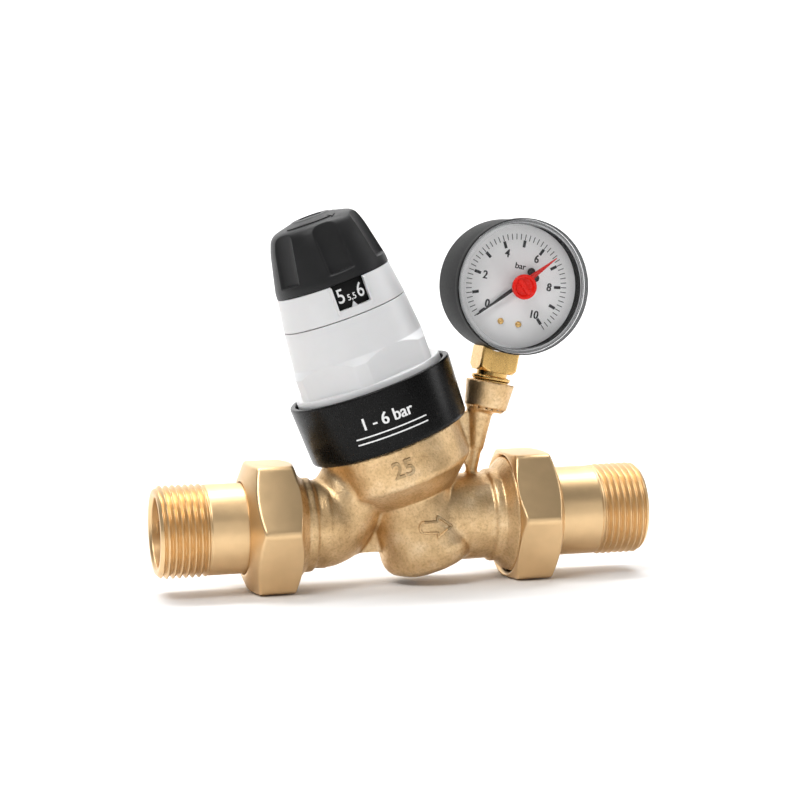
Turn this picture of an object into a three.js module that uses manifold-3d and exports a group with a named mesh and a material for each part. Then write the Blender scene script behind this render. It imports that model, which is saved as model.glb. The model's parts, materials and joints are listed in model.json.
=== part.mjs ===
// Inclined-cartridge pressure reducing valve, DN 25, with two union ends and a pressure gauge.
// Frame: +X downstream along the pipe, -Y the side of the dial and the scale window, +Z up.
// Origin: half-way along the pipe, in the symmetry plane, on the plane of the nuts' lower flats.
import * as THREE from "three";
import { mergeVertices } from "three/addons/utils/BufferGeometryUtils.js";
import Module from "manifold-3d";

const wasm = await Module();
wasm.setup();

// ---- Driving dimensions, in mm and degrees --------------------------------------------------

// Clearances and facets
const GAP = 0.3; // between two neighbouring pieces
const THREAD_GAP = 0.35; // between a screwed-in thread and its nut
const PRESS = 1; // how far one lump of a joined body reaches into the next
const FACETS = 24; // round a large outer piece
const INNER_FACETS = 20; // round a piece inside
const SMALL_FACETS = 12; // round a small one

// Pipe line
const OVERALL_LENGTH = 180; // over both tailpieces
const PIPE_BORE = 25; // bore through tailpieces and body
const NUT_ACROSS_FLATS = 45.4;
const NUT_LENGTH = 18.2;
const NUT_CORNER_RADIUS = 3;
const NUT_CHAMFER = 25; // degrees from the end face
const INLET_NUT_START = 40.7; // inner end of each union nut, from the origin
const OUTLET_NUT_START = 38.4;
const UNION_THREAD = 41.9; // G 1 1/4
const UNION_SHOULDER = 3.2; // nut wall that pulls the tailpiece
const TAIL_COLLAR = 2.8;
const GASKET = 2;
const TAIL_BARREL = 32.4;
const PIPE_THREAD = 33.25; // R 1
const PIPE_THREAD_PITCH = 2.309;
const PIPE_THREAD_TURNS = 8;
const PIPE_THREAD_DEPTH = 1.3;
const TAIL_LUG = 1.5; // height of the two spanner lugs in each tail bore
const TAIL_LUG_WIDTH = 4;
const TAIL_LUG_LENGTH = 9;

// Cartridge axis
const CARTRIDGE_X = 6.6; // where it crosses the pipe axis
const CARTRIDGE_TILT = 19; // degrees, its top leaning upstream
const BODY_WALL = 3.2;

// Heights along the cartridge axis, from the pipe axis
const BOWL_BOTTOM = -18.4;
const BOWL_TOP = 9;
const BAND_BOTTOM = 17.6;
const BAND_TOP = 31;
const DIAPHRAGM_LEDGE = 32.7;
const BODY_TOP = 46;
const BONNET_FLANGE_TOP = 55.8;
const BONNET_HEX_TOP = 66.3;
const BONNET_SEAM = 80;
const COLLAR_TOP = 92.2;
const KNOB_SHOULDER = 110.5;
const KNOB_TOP = 116.4;

// Radii about the cartridge axis
const BOWL_RADIUS = 18;
const BAND_RADIUS = 25.7;
const BODY_NECK_RADIUS = 25;
const BONNET_THREAD_RADIUS = 22.4;
const BONNET_FLANGE_RADIUS = 27.1;
const BONNET_CORNER_RADIUS = 26.6;
const BONNET_ACROSS_FLATS = 48.3;
const BONNET_CONE_RADIUS = 24.2; // above the hexagon
const BONNET_SEAM_RADIUS = 22.8;
const BONNET_HEX_TURN = -14; // degrees: one corner strip, from the front towards upstream
const COLLAR_TOP_RADIUS = 21;
const SPRING_CHAMBER_RADIUS = 19.3;
const RING_FOOT_RADIUS = 29.2;
const RING_RIM_RADIUS = 30.2;
const RING_WALL = 2;
const RING_TOP = 53.9;
const KNOB_RIM_RADIUS = 21;
const KNOB_SHOULDER_RADIUS = 17.3;
const KNOB_WALL = 2.6;
const KNOB_GRIPS = 6;
const DRUM_RADIUS = 19.6;
const DRUM_WALL = 1.4;

// Scale window in the collar
const WINDOW_WIDTH = 12;
const WINDOW_HEIGHT = 9;
const WINDOW_FRAME = 1;

// Regulating parts
const SEAT_RADIUS = 8;
const SEAT_FACE = 6; // height of the seat's sealing edge
const LIFT = 2.6; // obturator travel
const STEM_RADIUS = 2.5;
const SPRING_WIRE = 3.6;
const SPRING_MEAN_RADIUS = 13.5;
const SPRING_TURNS = 5.5;
const SPRING_PLATE_TOP = 37.2;
const SPRING_NUT_FACE = 70.3; // where the upper end of the spring bears
const SCREW_RADIUS = 5;

// Pressure gauge
const GAUGE_X = 42.3;
const GAUGE_ABOVE_PIPE = 83.4;
const GAUGE_TILT = 12.5; // degrees, its top leaning downstream
const GAUGE_DIAMETER = 49;
const GAUGE_FRONT = -18;
const GAUGE_BACK = 9.5;
const GAUGE_WALL = 1.3;
const SOCKET_ACROSS_FLATS = 14;
const CASE_RADIUS = GAUGE_DIAMETER / 2;
const SOCKET_FOOT = -(CASE_RADIUS + 7.5); // lower end of the square, from the gauge centre
const BOSS_TOP = SOCKET_FOOT - 3.6;
const BOSS_DEPTH = 10.8;
const BOSS_FOOT = BOSS_TOP - BOSS_DEPTH;
const BOSS_RADIUS = 8.9;
const GAUGE_THREAD = 13.1; // G 1/4
const DIAL_PLANE = -9;
const POINTER_ZERO = -135; // degrees from the top of the dial, clockwise seen from the front
const SET_HAND_AT = 43.2; // 6.6 bar
const SECTOR_RATIO = 8; // turns of the pointer for one of the sector

// ---- Materials --------------------------------------------------------------------------------

const MATERIALS = {
  cast_brass: [0xc9a36b, 0.45, 0.9],
  machined_brass: [0xe0b983, 0.3, 0.95],
  bright_brass: [0xc08a45, 0.25, 1],
  white_plastic: [0xf0f0ee, 0.4, 0],
  knob_plastic: [0x2b2b2d, 0.55, 0],
  black_plastic: [0x141416, 0.35, 0],
  drum_plastic: [0x0c0c0d, 0.5, 0],
  rubber: [0x1a1a1a, 0.9, 0],
  gasket_fibre: [0x3d3a38, 0.9, 0],
  steel: [0xb9bcc0, 0.3, 1],
  dial_paint: [0xf7f7f5, 0.5, 0],
  pointer_paint: [0x101010, 0.5, 0],
  red_plastic: [0xe3271d, 0.35, 0],
  window_plastic: [0xf4f8fa, 0.05, 0],
};

function material(name) {
  const [color, roughness, metalness] = MATERIALS[name];
  const made = new THREE.MeshStandardMaterial({ color, roughness, metalness });
  if (name === "window_plastic") Object.assign(made, { transparent: true, opacity: 0.3 });
  return made;
}

// ---- Solids: made as geometries, joined and cut as manifolds -----------------------------------

function solidOf(geometry) {
  const bare = new THREE.BufferGeometry();
  bare.setAttribute("position", geometry.getAttribute("position"));
  bare.setIndex(geometry.index);
  const merged = mergeVertices(bare, 1e-4);
  const corners = [];
  for (let i = 0; i < merged.index.count; i += 3) {
    const [a, b, c] = [0, 1, 2].map((k) => merged.index.getX(i + k));
    if (a !== b && b !== c && c !== a) corners.push(a, b, c);
  }
  return new wasm.Manifold(
    new wasm.Mesh({
      numProp: 3,
      vertProperties: merged.attributes.position.array,
      triVerts: new Uint32Array(corners),
    }),
  );
}

function geometryOf(solid) {
  const mesh = solid.getMesh();
  const geometry = new THREE.BufferGeometry();
  geometry.setAttribute("position", new THREE.BufferAttribute(mesh.vertProperties, 3));
  geometry.setIndex(new THREE.BufferAttribute(mesh.triVerts, 1));
  return geometry;
}

const join = (first, ...rest) =>
  geometryOf(rest.reduce((sum, piece) => sum.add(solidOf(piece)), solidOf(first)));
const cut = (first, ...rest) =>
  geometryOf(rest.reduce((left, piece) => left.subtract(solidOf(piece)), solidOf(first)));
const common = (first, second) => geometryOf(solidOf(first).intersect(solidOf(second)));

const radians = THREE.MathUtils.degToRad;
const tangent = (degrees) => Math.tan(radians(degrees));

// A turned piece about +Z. The profile is [radius, height] points, counter-clockwise.
function turned(profile, facets = INNER_FACETS) {
  const points = profile.map(([r, h]) => new THREE.Vector2(r, h));
  if (profile[0][0] > 0) points.push(points[0].clone());
  return new THREE.LatheGeometry(points, facets).rotateX(Math.PI / 2);
}

const disc = (radius, low, high, facets = INNER_FACETS) =>
  turned([[0, low], [radius, low], [radius, high], [0, high]], facets);
const ring = (inner, outer, low, high, facets = INNER_FACETS) =>
  turned([[inner, low], [outer, low], [outer, high], [inner, high]], facets);

// Points on an arc of a profile, from one angle to another.
function arc(r, h, radius, from, to, steps) {
  return Array.from({ length: steps + 1 }, (_, i) => {
    const angle = radians(from + ((to - from) * i) / steps);
    return [r + radius * Math.cos(angle), h + radius * Math.sin(angle)];
  });
}

// A round-section ring, such as an O-ring.
const torus = (mean, section, height) =>
  turned(arc(mean, height, section, 0, 300, 5));

function prism(shape, low, high) {
  const settings = { depth: high - low, bevelEnabled: false, curveSegments: 3 };
  return new THREE.ExtrudeGeometry(shape, settings).translate(0, 0, low);
}

// A regular polygon with rounded corners; the first corner is at the angle given.
function polygon(sides, acrossFlats, corner, first = 90) {
  const shape = new THREE.Shape();
  const half = 180 / sides;
  const reach = (acrossFlats / 2 - corner) / Math.cos(radians(half));
  for (let i = 0; i < sides; i++) {
    const angle = first + i * 2 * half;
    const x = reach * Math.cos(radians(angle));
    const y = reach * Math.sin(radians(angle));
    shape.absarc(x, y, corner, radians(angle - half), radians(angle + half), false);
  }
  return shape;
}

function block(x0, x1, y0, y1, z0, z1) {
  const box = new THREE.BoxGeometry(x1 - x0, y1 - y0, z1 - z0);
  return box.translate((x0 + x1) / 2, (y0 + y1) / 2, (z0 + z1) / 2);
}

// A flat plate in the X-Z plane, centred on the symmetry plane.
function web(points, thickness) {
  const shape = new THREE.Shape(points.map(([x, z]) => new THREE.Vector2(x, z)));
  return prism(shape, -thickness / 2, thickness / 2).rotateX(Math.PI / 2);
}

// ---- Frames ------------------------------------------------------------------------------------

const PIPE_Z = NUT_ACROSS_FLATS / 2;
const GAUGE_Z = PIPE_Z + GAUGE_ABOVE_PIPE;
const frameAt = (x, z, turn) =>
  new THREE.Matrix4().makeRotationY(radians(turn)).setPosition(x, 0, z);
const INLET = frameAt(0, PIPE_Z, -90); // local +Z runs upstream
const OUTLET = frameAt(0, PIPE_Z, 90); // local +Z runs downstream
const CARTRIDGE = frameAt(CARTRIDGE_X, PIPE_Z, -CARTRIDGE_TILT);
const GAUGE = frameAt(GAUGE_X, GAUGE_Z, GAUGE_TILT);
const DIAL = GAUGE.clone().multiply(new THREE.Matrix4().makeRotationX(Math.PI / 2)); // local +Z: front
const put = (frame, geometry) => geometry.applyMatrix4(frame);
const pointAt = (frame, x, z) => new THREE.Vector3(x, 0, z).applyMatrix4(frame);

// A round bar between two points [x, z] of the symmetry plane.
function bar([x0, z0], [x1, z1], startRadius, endRadius, facets = SMALL_FACETS) {
  const length = Math.hypot(x1 - x0, z1 - z0);
  const turn = THREE.MathUtils.radToDeg(Math.atan2(x1 - x0, z1 - z0));
  const profile = [[0, 0], [startRadius, 0], [endRadius, length], [0, length]];
  return put(frameAt(x0, z0, turn), turned(profile, facets));
}

const valve = new THREE.Group();
valve.name = "pressure_reducing_valve";
const groups = {};
for (const [name, frame] of Object.entries({ INLET, OUTLET, CARTRIDGE, GAUGE, DIAL })) {
  groups[name] = new THREE.Group();
  groups[name].applyMatrix4(frame);
  valve.add(groups[name]);
}

function add(name, materialName, geometry, group = valve) {
  const mesh = new THREE.Mesh(geometry, material(materialName));
  mesh.name = name;
  group.add(mesh);
}

// ---- Union ends: the same build on both sides, heights measured from the origin ------------------

const NUT_THREAD_RADIUS = UNION_THREAD / 2 + THREAD_GAP;
const NUT_HOLE_RADIUS = TAIL_BARREL / 2 + GAP + 0.1;
const NUT_FACE_RADIUS = NUT_THREAD_RADIUS + 1.2;
const BORE_RADIUS = PIPE_BORE / 2;

function unionPlan(nutStart) {
  const nutEnd = nutStart + NUT_LENGTH;
  const shoulder = nutEnd - UNION_SHOULDER;
  const collarEnd = shoulder - GAP;
  const collarStart = collarEnd - TAIL_COLLAR;
  const gasketEnd = collarStart - GAP;
  const gasketStart = gasketEnd - GASKET;
  return { nutStart, nutEnd, shoulder, collarStart, collarEnd, gasketStart, gasketEnd,
    bodyEnd: gasketStart - GAP };
}

function unionNut({ nutStart, nutEnd, shoulder }) {
  const corner = NUT_ACROSS_FLATS / Math.sqrt(3);
  const outerFace = NUT_HOLE_RADIUS + 0.9;
  const slope = tangent(NUT_CHAMFER);
  const hexagon = prism(polygon(6, NUT_ACROSS_FLATS, NUT_CORNER_RADIUS), nutStart, nutEnd);
  const envelope = turned([
    [0, nutStart],
    [NUT_FACE_RADIUS, nutStart],
    [corner, nutStart + (corner - NUT_FACE_RADIUS) * slope],
    [corner, nutEnd - (corner - outerFace) * slope],
    [outerFace, nutEnd],
    [0, nutEnd],
  ], FACETS);
  return cut(
    common(hexagon, envelope),
    disc(NUT_THREAD_RADIUS, nutStart - PRESS, shoulder),
    disc(NUT_HOLE_RADIUS, shoulder - PRESS, nutEnd + PRESS),
  );
}

function tailpiece({ collarStart, collarEnd }) {
  const end = OVERALL_LENGTH / 2;
  const crest = PIPE_THREAD / 2;
  const root = crest - PIPE_THREAD_DEPTH;
  const barrel = TAIL_BARREL / 2;
  const threadStart = end - PIPE_THREAD_TURNS * PIPE_THREAD_PITCH;
  const outside = [
    [BORE_RADIUS, collarStart],
    [UNION_THREAD / 2 - GAP, collarStart],
    [UNION_THREAD / 2 - GAP, collarEnd],
    [barrel, collarEnd],
    [barrel, threadStart - PIPE_THREAD_PITCH / 2],
  ];
  for (let turn = 0; turn < PIPE_THREAD_TURNS; turn++) {
    const start = threadStart + turn * PIPE_THREAD_PITCH;
    outside.push([root, start], [crest, start + PIPE_THREAD_PITCH / 2]);
  }
  outside.push([root - 0.2, end], [BORE_RADIUS + 1, end], [BORE_RADIUS, end - 1]);
  const lugs = [-1, 1].map((side) => {
    const reach = BORE_RADIUS - TAIL_LUG;
    const [near, far] = side < 0 ? [-BORE_RADIUS - 0.5, -reach] : [reach, BORE_RADIUS + 0.5];
    return block(-TAIL_LUG_WIDTH / 2, TAIL_LUG_WIDTH / 2, near, far, end - 3 - TAIL_LUG_LENGTH, end - 3);
  });
  return join(turned(outside, FACETS), ...lugs);
}

const gasket = ({ gasketStart, gasketEnd }) =>
  ring(BORE_RADIUS + 0.5, UNION_THREAD / 2 - GAP, gasketStart, gasketEnd);

const INLET_UNION = unionPlan(INLET_NUT_START);
const OUTLET_UNION = unionPlan(OUTLET_NUT_START);
for (const [side, plan, group] of [
  ["inlet", INLET_UNION, groups.INLET],
  ["outlet", OUTLET_UNION, groups.OUTLET],
]) {
  add(side + "_union_nut", "machined_brass", unionNut(plan), group);
  add(side + "_tailpiece", "machined_brass", tailpiece(plan), group);
  add(side + "_gasket", "gasket_fibre", gasket(plan), group);
}

// ---- Body casting --------------------------------------------------------------------------------

const NECK_RADIUS = BORE_RADIUS + BODY_WALL;
const PORT_COLLAR_RADIUS = NECK_RADIUS + 1.2;
const CHAMBER_RADIUS = BAND_RADIUS - BODY_WALL - 1; // inlet water round the strainer
const SLEEVE_TOP_RADIUS = 19.3;
const SLEEVE_FOOT_RADIUS = SEAT_RADIUS + 5.4;
const STRAINER_RADIUS = SEAT_RADIUS + 8;
const BULB_CENTRE = -29.5; // X of the round end of the inlet port
const RISER_FOOT = [-25, PIPE_Z];

// One screwed port of the body, from its end face inwards to the X given.
function port({ nutStart, bodyEnd }, inner) {
  return turned([
    [0, inner],
    [NECK_RADIUS, inner],
    [NECK_RADIUS, nutStart - 7],
    [PORT_COLLAR_RADIUS, nutStart - 6],
    [PORT_COLLAR_RADIUS, nutStart - 3.4],
    [UNION_THREAD / 2, nutStart],
    [UNION_THREAD / 2, bodyEnd - 1],
    [UNION_THREAD / 2 - 1, bodyEnd],
    [0, bodyEnd],
  ]);
}

// The little column that carries the gauge boss, as [x, z] points in the symmetry plane.
const flat = ({ x, z }) => [x, z];
const COLUMN_TOP = flat(pointAt(GAUGE, -1.8, BOSS_FOOT + PRESS));
const COLUMN_WAIST = flat(pointAt(GAUGE, -0.7, BOSS_FOOT - 12.6));
const COLUMN_FOOT = flat(pointAt(GAUGE, -0.7, BOSS_FOOT - 24));
const COLUMN_SHOULDER = flat(pointAt(GAUGE, -1.8, BOSS_FOOT + 2));
const WEB_TOP = pointAt(CARTRIDGE, BAND_RADIUS - PRESS, BAND_TOP - 1);
const WEB_FOOT = pointAt(CARTRIDGE, BAND_RADIUS - PRESS, BAND_BOTTOM + 2);
const GAUGE_WEB = [
  COLUMN_FOOT,
  COLUMN_WAIST,
  COLUMN_SHOULDER,
  flat(WEB_TOP),
  flat(WEB_FOOT),
];

function bodyOutside() {
  const bowl = turned([
    [0, BOWL_BOTTOM],
    ...arc(BOWL_RADIUS - 8, BOWL_BOTTOM + 8, 8, -90, 0, 5),
    [BOWL_RADIUS - 1.6, BOWL_TOP],
    ...arc(BAND_RADIUS - 3, BAND_BOTTOM + 1, 3, -45, 0, 3),
    [BAND_RADIUS, BAND_TOP],
    [BODY_NECK_RADIUS, BAND_TOP],
    [BODY_NECK_RADIUS, BODY_TOP],
    [0, BODY_TOP],
  ], FACETS);
  const bulb = new THREE.SphereGeometry(NECK_RADIUS, SMALL_FACETS, SMALL_FACETS / 2);
  const riserTop = pointAt(CARTRIDGE, -CHAMBER_RADIUS + 6, BAND_BOTTOM + 4);
  const boss = put(GAUGE, turned([
    [0, BOSS_FOOT],
    [BOSS_RADIUS - 2.4, BOSS_FOOT],
    [BOSS_RADIUS - 1.2, BOSS_FOOT + 1.2],
    [BOSS_RADIUS, BOSS_TOP],
    [0, BOSS_TOP],
  ], SMALL_FACETS));
  const column = join(
    boss,
    bar(COLUMN_WAIST, COLUMN_TOP, 2.8, 4.8),
    bar(COLUMN_FOOT, COLUMN_WAIST, 2.1, 2.1),
    web(GAUGE_WEB, 2.4),
  );
  const ringRoom = put(CARTRIDGE, disc(RING_RIM_RADIUS + GAP, BAND_TOP, RING_TOP + GAP, FACETS));
  return join(
    put(CARTRIDGE, bowl),
    put(OUTLET, port(OUTLET_UNION, CARTRIDGE_X)),
    put(INLET, port(INLET_UNION, -BULB_CENTRE)),
    bulb.translate(BULB_CENTRE, 0, PIPE_Z),
    bar(RISER_FOOT, [riserTop.x, riserTop.z], NECK_RADIUS - 2, NECK_RADIUS - 2),
    web([[-20, PIPE_Z - 11], [-8, PIPE_Z - 11], [-8, PIPE_Z + 8], [-20, PIPE_Z + 8]], 5),
    cut(column, ringRoom),
  );
}

function bodyInside() {
  const cartridgeBore = turned([
    [0, BOWL_BOTTOM + BODY_WALL],
    ...arc(BOWL_RADIUS - BODY_WALL - 6, BOWL_BOTTOM + BODY_WALL + 6, 6, -90, 0, 4),
    [SLEEVE_FOOT_RADIUS + GAP, BOWL_TOP],
    [SLEEVE_FOOT_RADIUS + GAP, BOWL_TOP + 5],
    [STRAINER_RADIUS + 1, BOWL_TOP + 5],
    [CHAMBER_RADIUS, BAND_BOTTOM + 2.5],
    [CHAMBER_RADIUS, DIAPHRAGM_LEDGE - 8],
    [SLEEVE_TOP_RADIUS + GAP, DIAPHRAGM_LEDGE - 6.2],
    [SLEEVE_TOP_RADIUS + GAP, DIAPHRAGM_LEDGE],
    [BONNET_THREAD_RADIUS + THREAD_GAP, DIAPHRAGM_LEDGE],
    [BONNET_THREAD_RADIUS + THREAD_GAP, BODY_TOP + PRESS],
    [0, BODY_TOP + PRESS],
  ]);
  const inletBore = disc(BORE_RADIUS, -BULB_CENTRE, INLET_UNION.bodyEnd + PRESS);
  const bulb = new THREE.SphereGeometry(BORE_RADIUS, SMALL_FACETS, SMALL_FACETS / 2);
  const riserTop = pointAt(CARTRIDGE, -CHAMBER_RADIUS + 6, BAND_BOTTOM + 6);
  const socketBore = disc(GAUGE_THREAD / 2 + THREAD_GAP, BOSS_FOOT + 1, BOSS_TOP + PRESS, SMALL_FACETS);
  return [
    put(CARTRIDGE, cartridgeBore),
    put(INLET, inletBore),
    bulb.translate(BULB_CENTRE, 0, PIPE_Z),
    bar(RISER_FOOT, [riserTop.x, riserTop.z], 8, 8),
    put(OUTLET, disc(BORE_RADIUS, CARTRIDGE_X, OUTLET_UNION.bodyEnd + PRESS)),
    put(GAUGE, socketBore),
    bar(COLUMN_WAIST, COLUMN_SHOULDER, 1, 1, 10),
    bar(flat(pointAt(GAUGE, -0.7, BOSS_FOOT - 26)), COLUMN_WAIST, 1, 1, 10),
  ];
}

add("valve_body", "cast_brass", cut(bodyOutside(), ...bodyInside()));

// ---- Cartridge: strainer, sleeve, seat and seals, all fixed in the body --------------------------

const SLEEVE_TOP = DIAPHRAGM_LEDGE - 2.8;
const SLEEVE_WAIST = SEAT_RADIUS + 4.5;
const PISTON_BORE = SEAT_RADIUS;
const SEAL_SECTION = 1;
const UPPER_SEAL = SLEEVE_TOP - 1.9;
const LOWER_SEAL = BOWL_TOP + 2.4;

// A groove for an O-ring of the seal section, cut in a shaft of the given radius.
const sealGroove = (radius, height) =>
  ring(
    radius - 2 * SEAL_SECTION,
    radius + PRESS,
    height - SEAL_SECTION - GAP,
    height + SEAL_SECTION + GAP,
  );
const sealRing = (radius, height) => torus(radius - SEAL_SECTION + 0.1, SEAL_SECTION - 0.2, height);

function cartridgeSleeve() {
  const sleeve = turned([
    [SEAT_RADIUS + 1, SEAT_FACE + 3 + GAP],
    [SLEEVE_FOOT_RADIUS, SEAT_FACE + 3 + GAP],
    [SLEEVE_FOOT_RADIUS, BOWL_TOP + 5],
    [SLEEVE_WAIST, BOWL_TOP + 6],
    [SLEEVE_WAIST, SLEEVE_TOP - 5],
    [SLEEVE_TOP_RADIUS, SLEEVE_TOP - 4],
    [SLEEVE_TOP_RADIUS, SLEEVE_TOP],
    [PISTON_BORE, SLEEVE_TOP],
    [PISTON_BORE, SLEEVE_TOP - 7],
    [SEAT_RADIUS + 2, SLEEVE_TOP - 8],
    [SEAT_RADIUS + 2, BOWL_TOP + 4],
  ]);
  const ports = Array.from({ length: 6 }, (_, i) => {
    const hole = disc(2.6, SEAT_RADIUS, SLEEVE_WAIST + PRESS, 8).rotateY(Math.PI / 2);
    return hole.translate(0, 0, BOWL_TOP + 9).rotateZ(radians(60 * i));
  });
  return cut(
    sleeve,
    sealGroove(SLEEVE_TOP_RADIUS, UPPER_SEAL),
    sealGroove(SLEEVE_FOOT_RADIUS, LOWER_SEAL),
    ...ports,
  );
}

// The strainer basket, as a barrel with two rows of wide meshes.
function strainer() {
  const low = BOWL_TOP + 6 + GAP;
  const high = SLEEVE_TOP - 5 - GAP;
  const barrel = ring(STRAINER_RADIUS - 0.8, STRAINER_RADIUS, low, high);
  const meshes = Array.from({ length: 10 }, (_, i) => {
    const slot = block(STRAINER_RADIUS - 2, STRAINER_RADIUS + 1, -2.4, 2.4, low + 1.5, high - 1.5);
    return slot.rotateZ(radians(36 * i));
  });
  return cut(barrel, ...meshes);
}

const CARTRIDGE_GROUP = groups.CARTRIDGE;
add("cartridge_sleeve", "white_plastic", cartridgeSleeve(), CARTRIDGE_GROUP);
add("strainer", "steel", strainer(), CARTRIDGE_GROUP);
add("sleeve_upper_o_ring", "rubber", sealRing(SLEEVE_TOP_RADIUS, UPPER_SEAL), CARTRIDGE_GROUP);
add("sleeve_lower_o_ring", "rubber", sealRing(SLEEVE_FOOT_RADIUS, LOWER_SEAL), CARTRIDGE_GROUP);
add("seat_ring", "steel", turned([
  [SEAT_RADIUS, SEAT_FACE],
  [SEAT_RADIUS + 0.8, SEAT_FACE],
  [SEAT_RADIUS + 2, SEAT_FACE + 1],
  [SLEEVE_FOOT_RADIUS - 1, SEAT_FACE + 1],
  [SLEEVE_FOOT_RADIUS - 1, SEAT_FACE + 3],
  [SEAT_RADIUS, SEAT_FACE + 3],
]), CARTRIDGE_GROUP);

// ---- Stem assembly: slides up by LIFT to shut -----------------------------------------------------

const STEM_HOLE = STEM_RADIUS + GAP;
const SEAL_TOP = SEAT_FACE - LIFT - GAP;
const SEAL_THICKNESS = 1.6;
const OBTURATOR_TOP = SEAL_TOP - SEAL_THICKNESS - GAP;
const OBTURATOR_FOOT = OBTURATOR_TOP - 3;
const NUT_THICKNESS = 3;
const PISTON_TOP = SLEEVE_TOP - 2.6;
const PISTON_HEIGHT = 3.6;
const DIAPHRAGM_FOOT = DIAPHRAGM_LEDGE + GAP;
const DIAPHRAGM_THICKNESS = 1.2;
const PLATE_RADIUS = 16.4;
const STEM_NUT_FLATS = 8;

function stemNut(low) {
  const hexagon = prism(polygon(6, STEM_NUT_FLATS, 0.3), low, low + NUT_THICKNESS);
  return cut(hexagon, disc(STEM_HOLE, low - PRESS, low + NUT_THICKNESS + PRESS, SMALL_FACETS));
}

const stemNutLow = SPRING_PLATE_TOP + GAP;
const stemFoot = OBTURATOR_FOOT - NUT_THICKNESS - 1.3;
const stemTop = stemNutLow + NUT_THICKNESS + 1.3;
add("stem", "steel", disc(STEM_RADIUS, stemFoot, stemTop, SMALL_FACETS), CARTRIDGE_GROUP);
add("obturator", "bright_brass",
  ring(STEM_HOLE, SEAT_RADIUS + 2, OBTURATOR_FOOT, OBTURATOR_TOP), CARTRIDGE_GROUP);
add("obturator_seal", "rubber",
  ring(STEM_HOLE, SEAT_RADIUS + 1.6, SEAL_TOP - SEAL_THICKNESS, SEAL_TOP), CARTRIDGE_GROUP);
add("obturator_nut", "bright_brass", stemNut(OBTURATOR_FOOT - GAP - NUT_THICKNESS), CARTRIDGE_GROUP);
add("balancing_piston", "bright_brass", cut(
  ring(STEM_HOLE, PISTON_BORE - GAP, PISTON_TOP - PISTON_HEIGHT - LIFT + 1, PISTON_TOP - LIFT + 1),
  sealGroove(PISTON_BORE - GAP, PISTON_TOP - LIFT + 1 - PISTON_HEIGHT / 2),
), CARTRIDGE_GROUP);
add("piston_o_ring", "rubber",
  sealRing(PISTON_BORE - GAP, PISTON_TOP - LIFT + 1 - PISTON_HEIGHT / 2), CARTRIDGE_GROUP);
add("diaphragm_washer", "bright_brass",
  ring(STEM_HOLE, PLATE_RADIUS - 4, DIAPHRAGM_FOOT - GAP - 1.6, DIAPHRAGM_FOOT - GAP), CARTRIDGE_GROUP);
add("stem_lock_nut", "steel", stemNut(stemNutLow), CARTRIDGE_GROUP);

const diaphragmTop = DIAPHRAGM_FOOT + DIAPHRAGM_THICKNESS;
const foldRadius = (PLATE_RADIUS + SPRING_CHAMBER_RADIUS) / 2;
const foldHalf = 1.2;
add("diaphragm", "rubber", turned([
  [STEM_HOLE, DIAPHRAGM_FOOT],
  [foldRadius - foldHalf, DIAPHRAGM_FOOT],
  [foldRadius, DIAPHRAGM_FOOT + 1],
  [foldRadius + foldHalf, DIAPHRAGM_FOOT],
  [BONNET_THREAD_RADIUS, DIAPHRAGM_FOOT],
  [BONNET_THREAD_RADIUS, diaphragmTop],
  [foldRadius + foldHalf, diaphragmTop],
  [foldRadius, diaphragmTop + 1],
  [foldRadius - foldHalf, diaphragmTop],
  [STEM_HOLE, diaphragmTop],
]), CARTRIDGE_GROUP);
add("spring_plate", "steel", turned([
  [STEM_HOLE, diaphragmTop + GAP],
  [foldRadius - 2, diaphragmTop + GAP],
  [PLATE_RADIUS, SPRING_PLATE_TOP - 1],
  [PLATE_RADIUS, SPRING_PLATE_TOP],
  [STEM_HOLE, SPRING_PLATE_TOP],
]), CARTRIDGE_GROUP);

// ---- Bonnet, collar and identification ring --------------------------------------------------------

const CLAMP_TOP = diaphragmTop + GAP + 1.8;
const SPIGOT_RADIUS = DRUM_RADIUS - DRUM_WALL - GAP;
const SPIGOT_TOP = 89;
const TOP_WALL = 3;
const SHANK_RADIUS = SCREW_RADIUS - 0.6;

add("diaphragm_clamp_ring", "white_plastic",
  ring(SPRING_CHAMBER_RADIUS, BONNET_THREAD_RADIUS, diaphragmTop + GAP, CLAMP_TOP), CARTRIDGE_GROUP);

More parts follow.
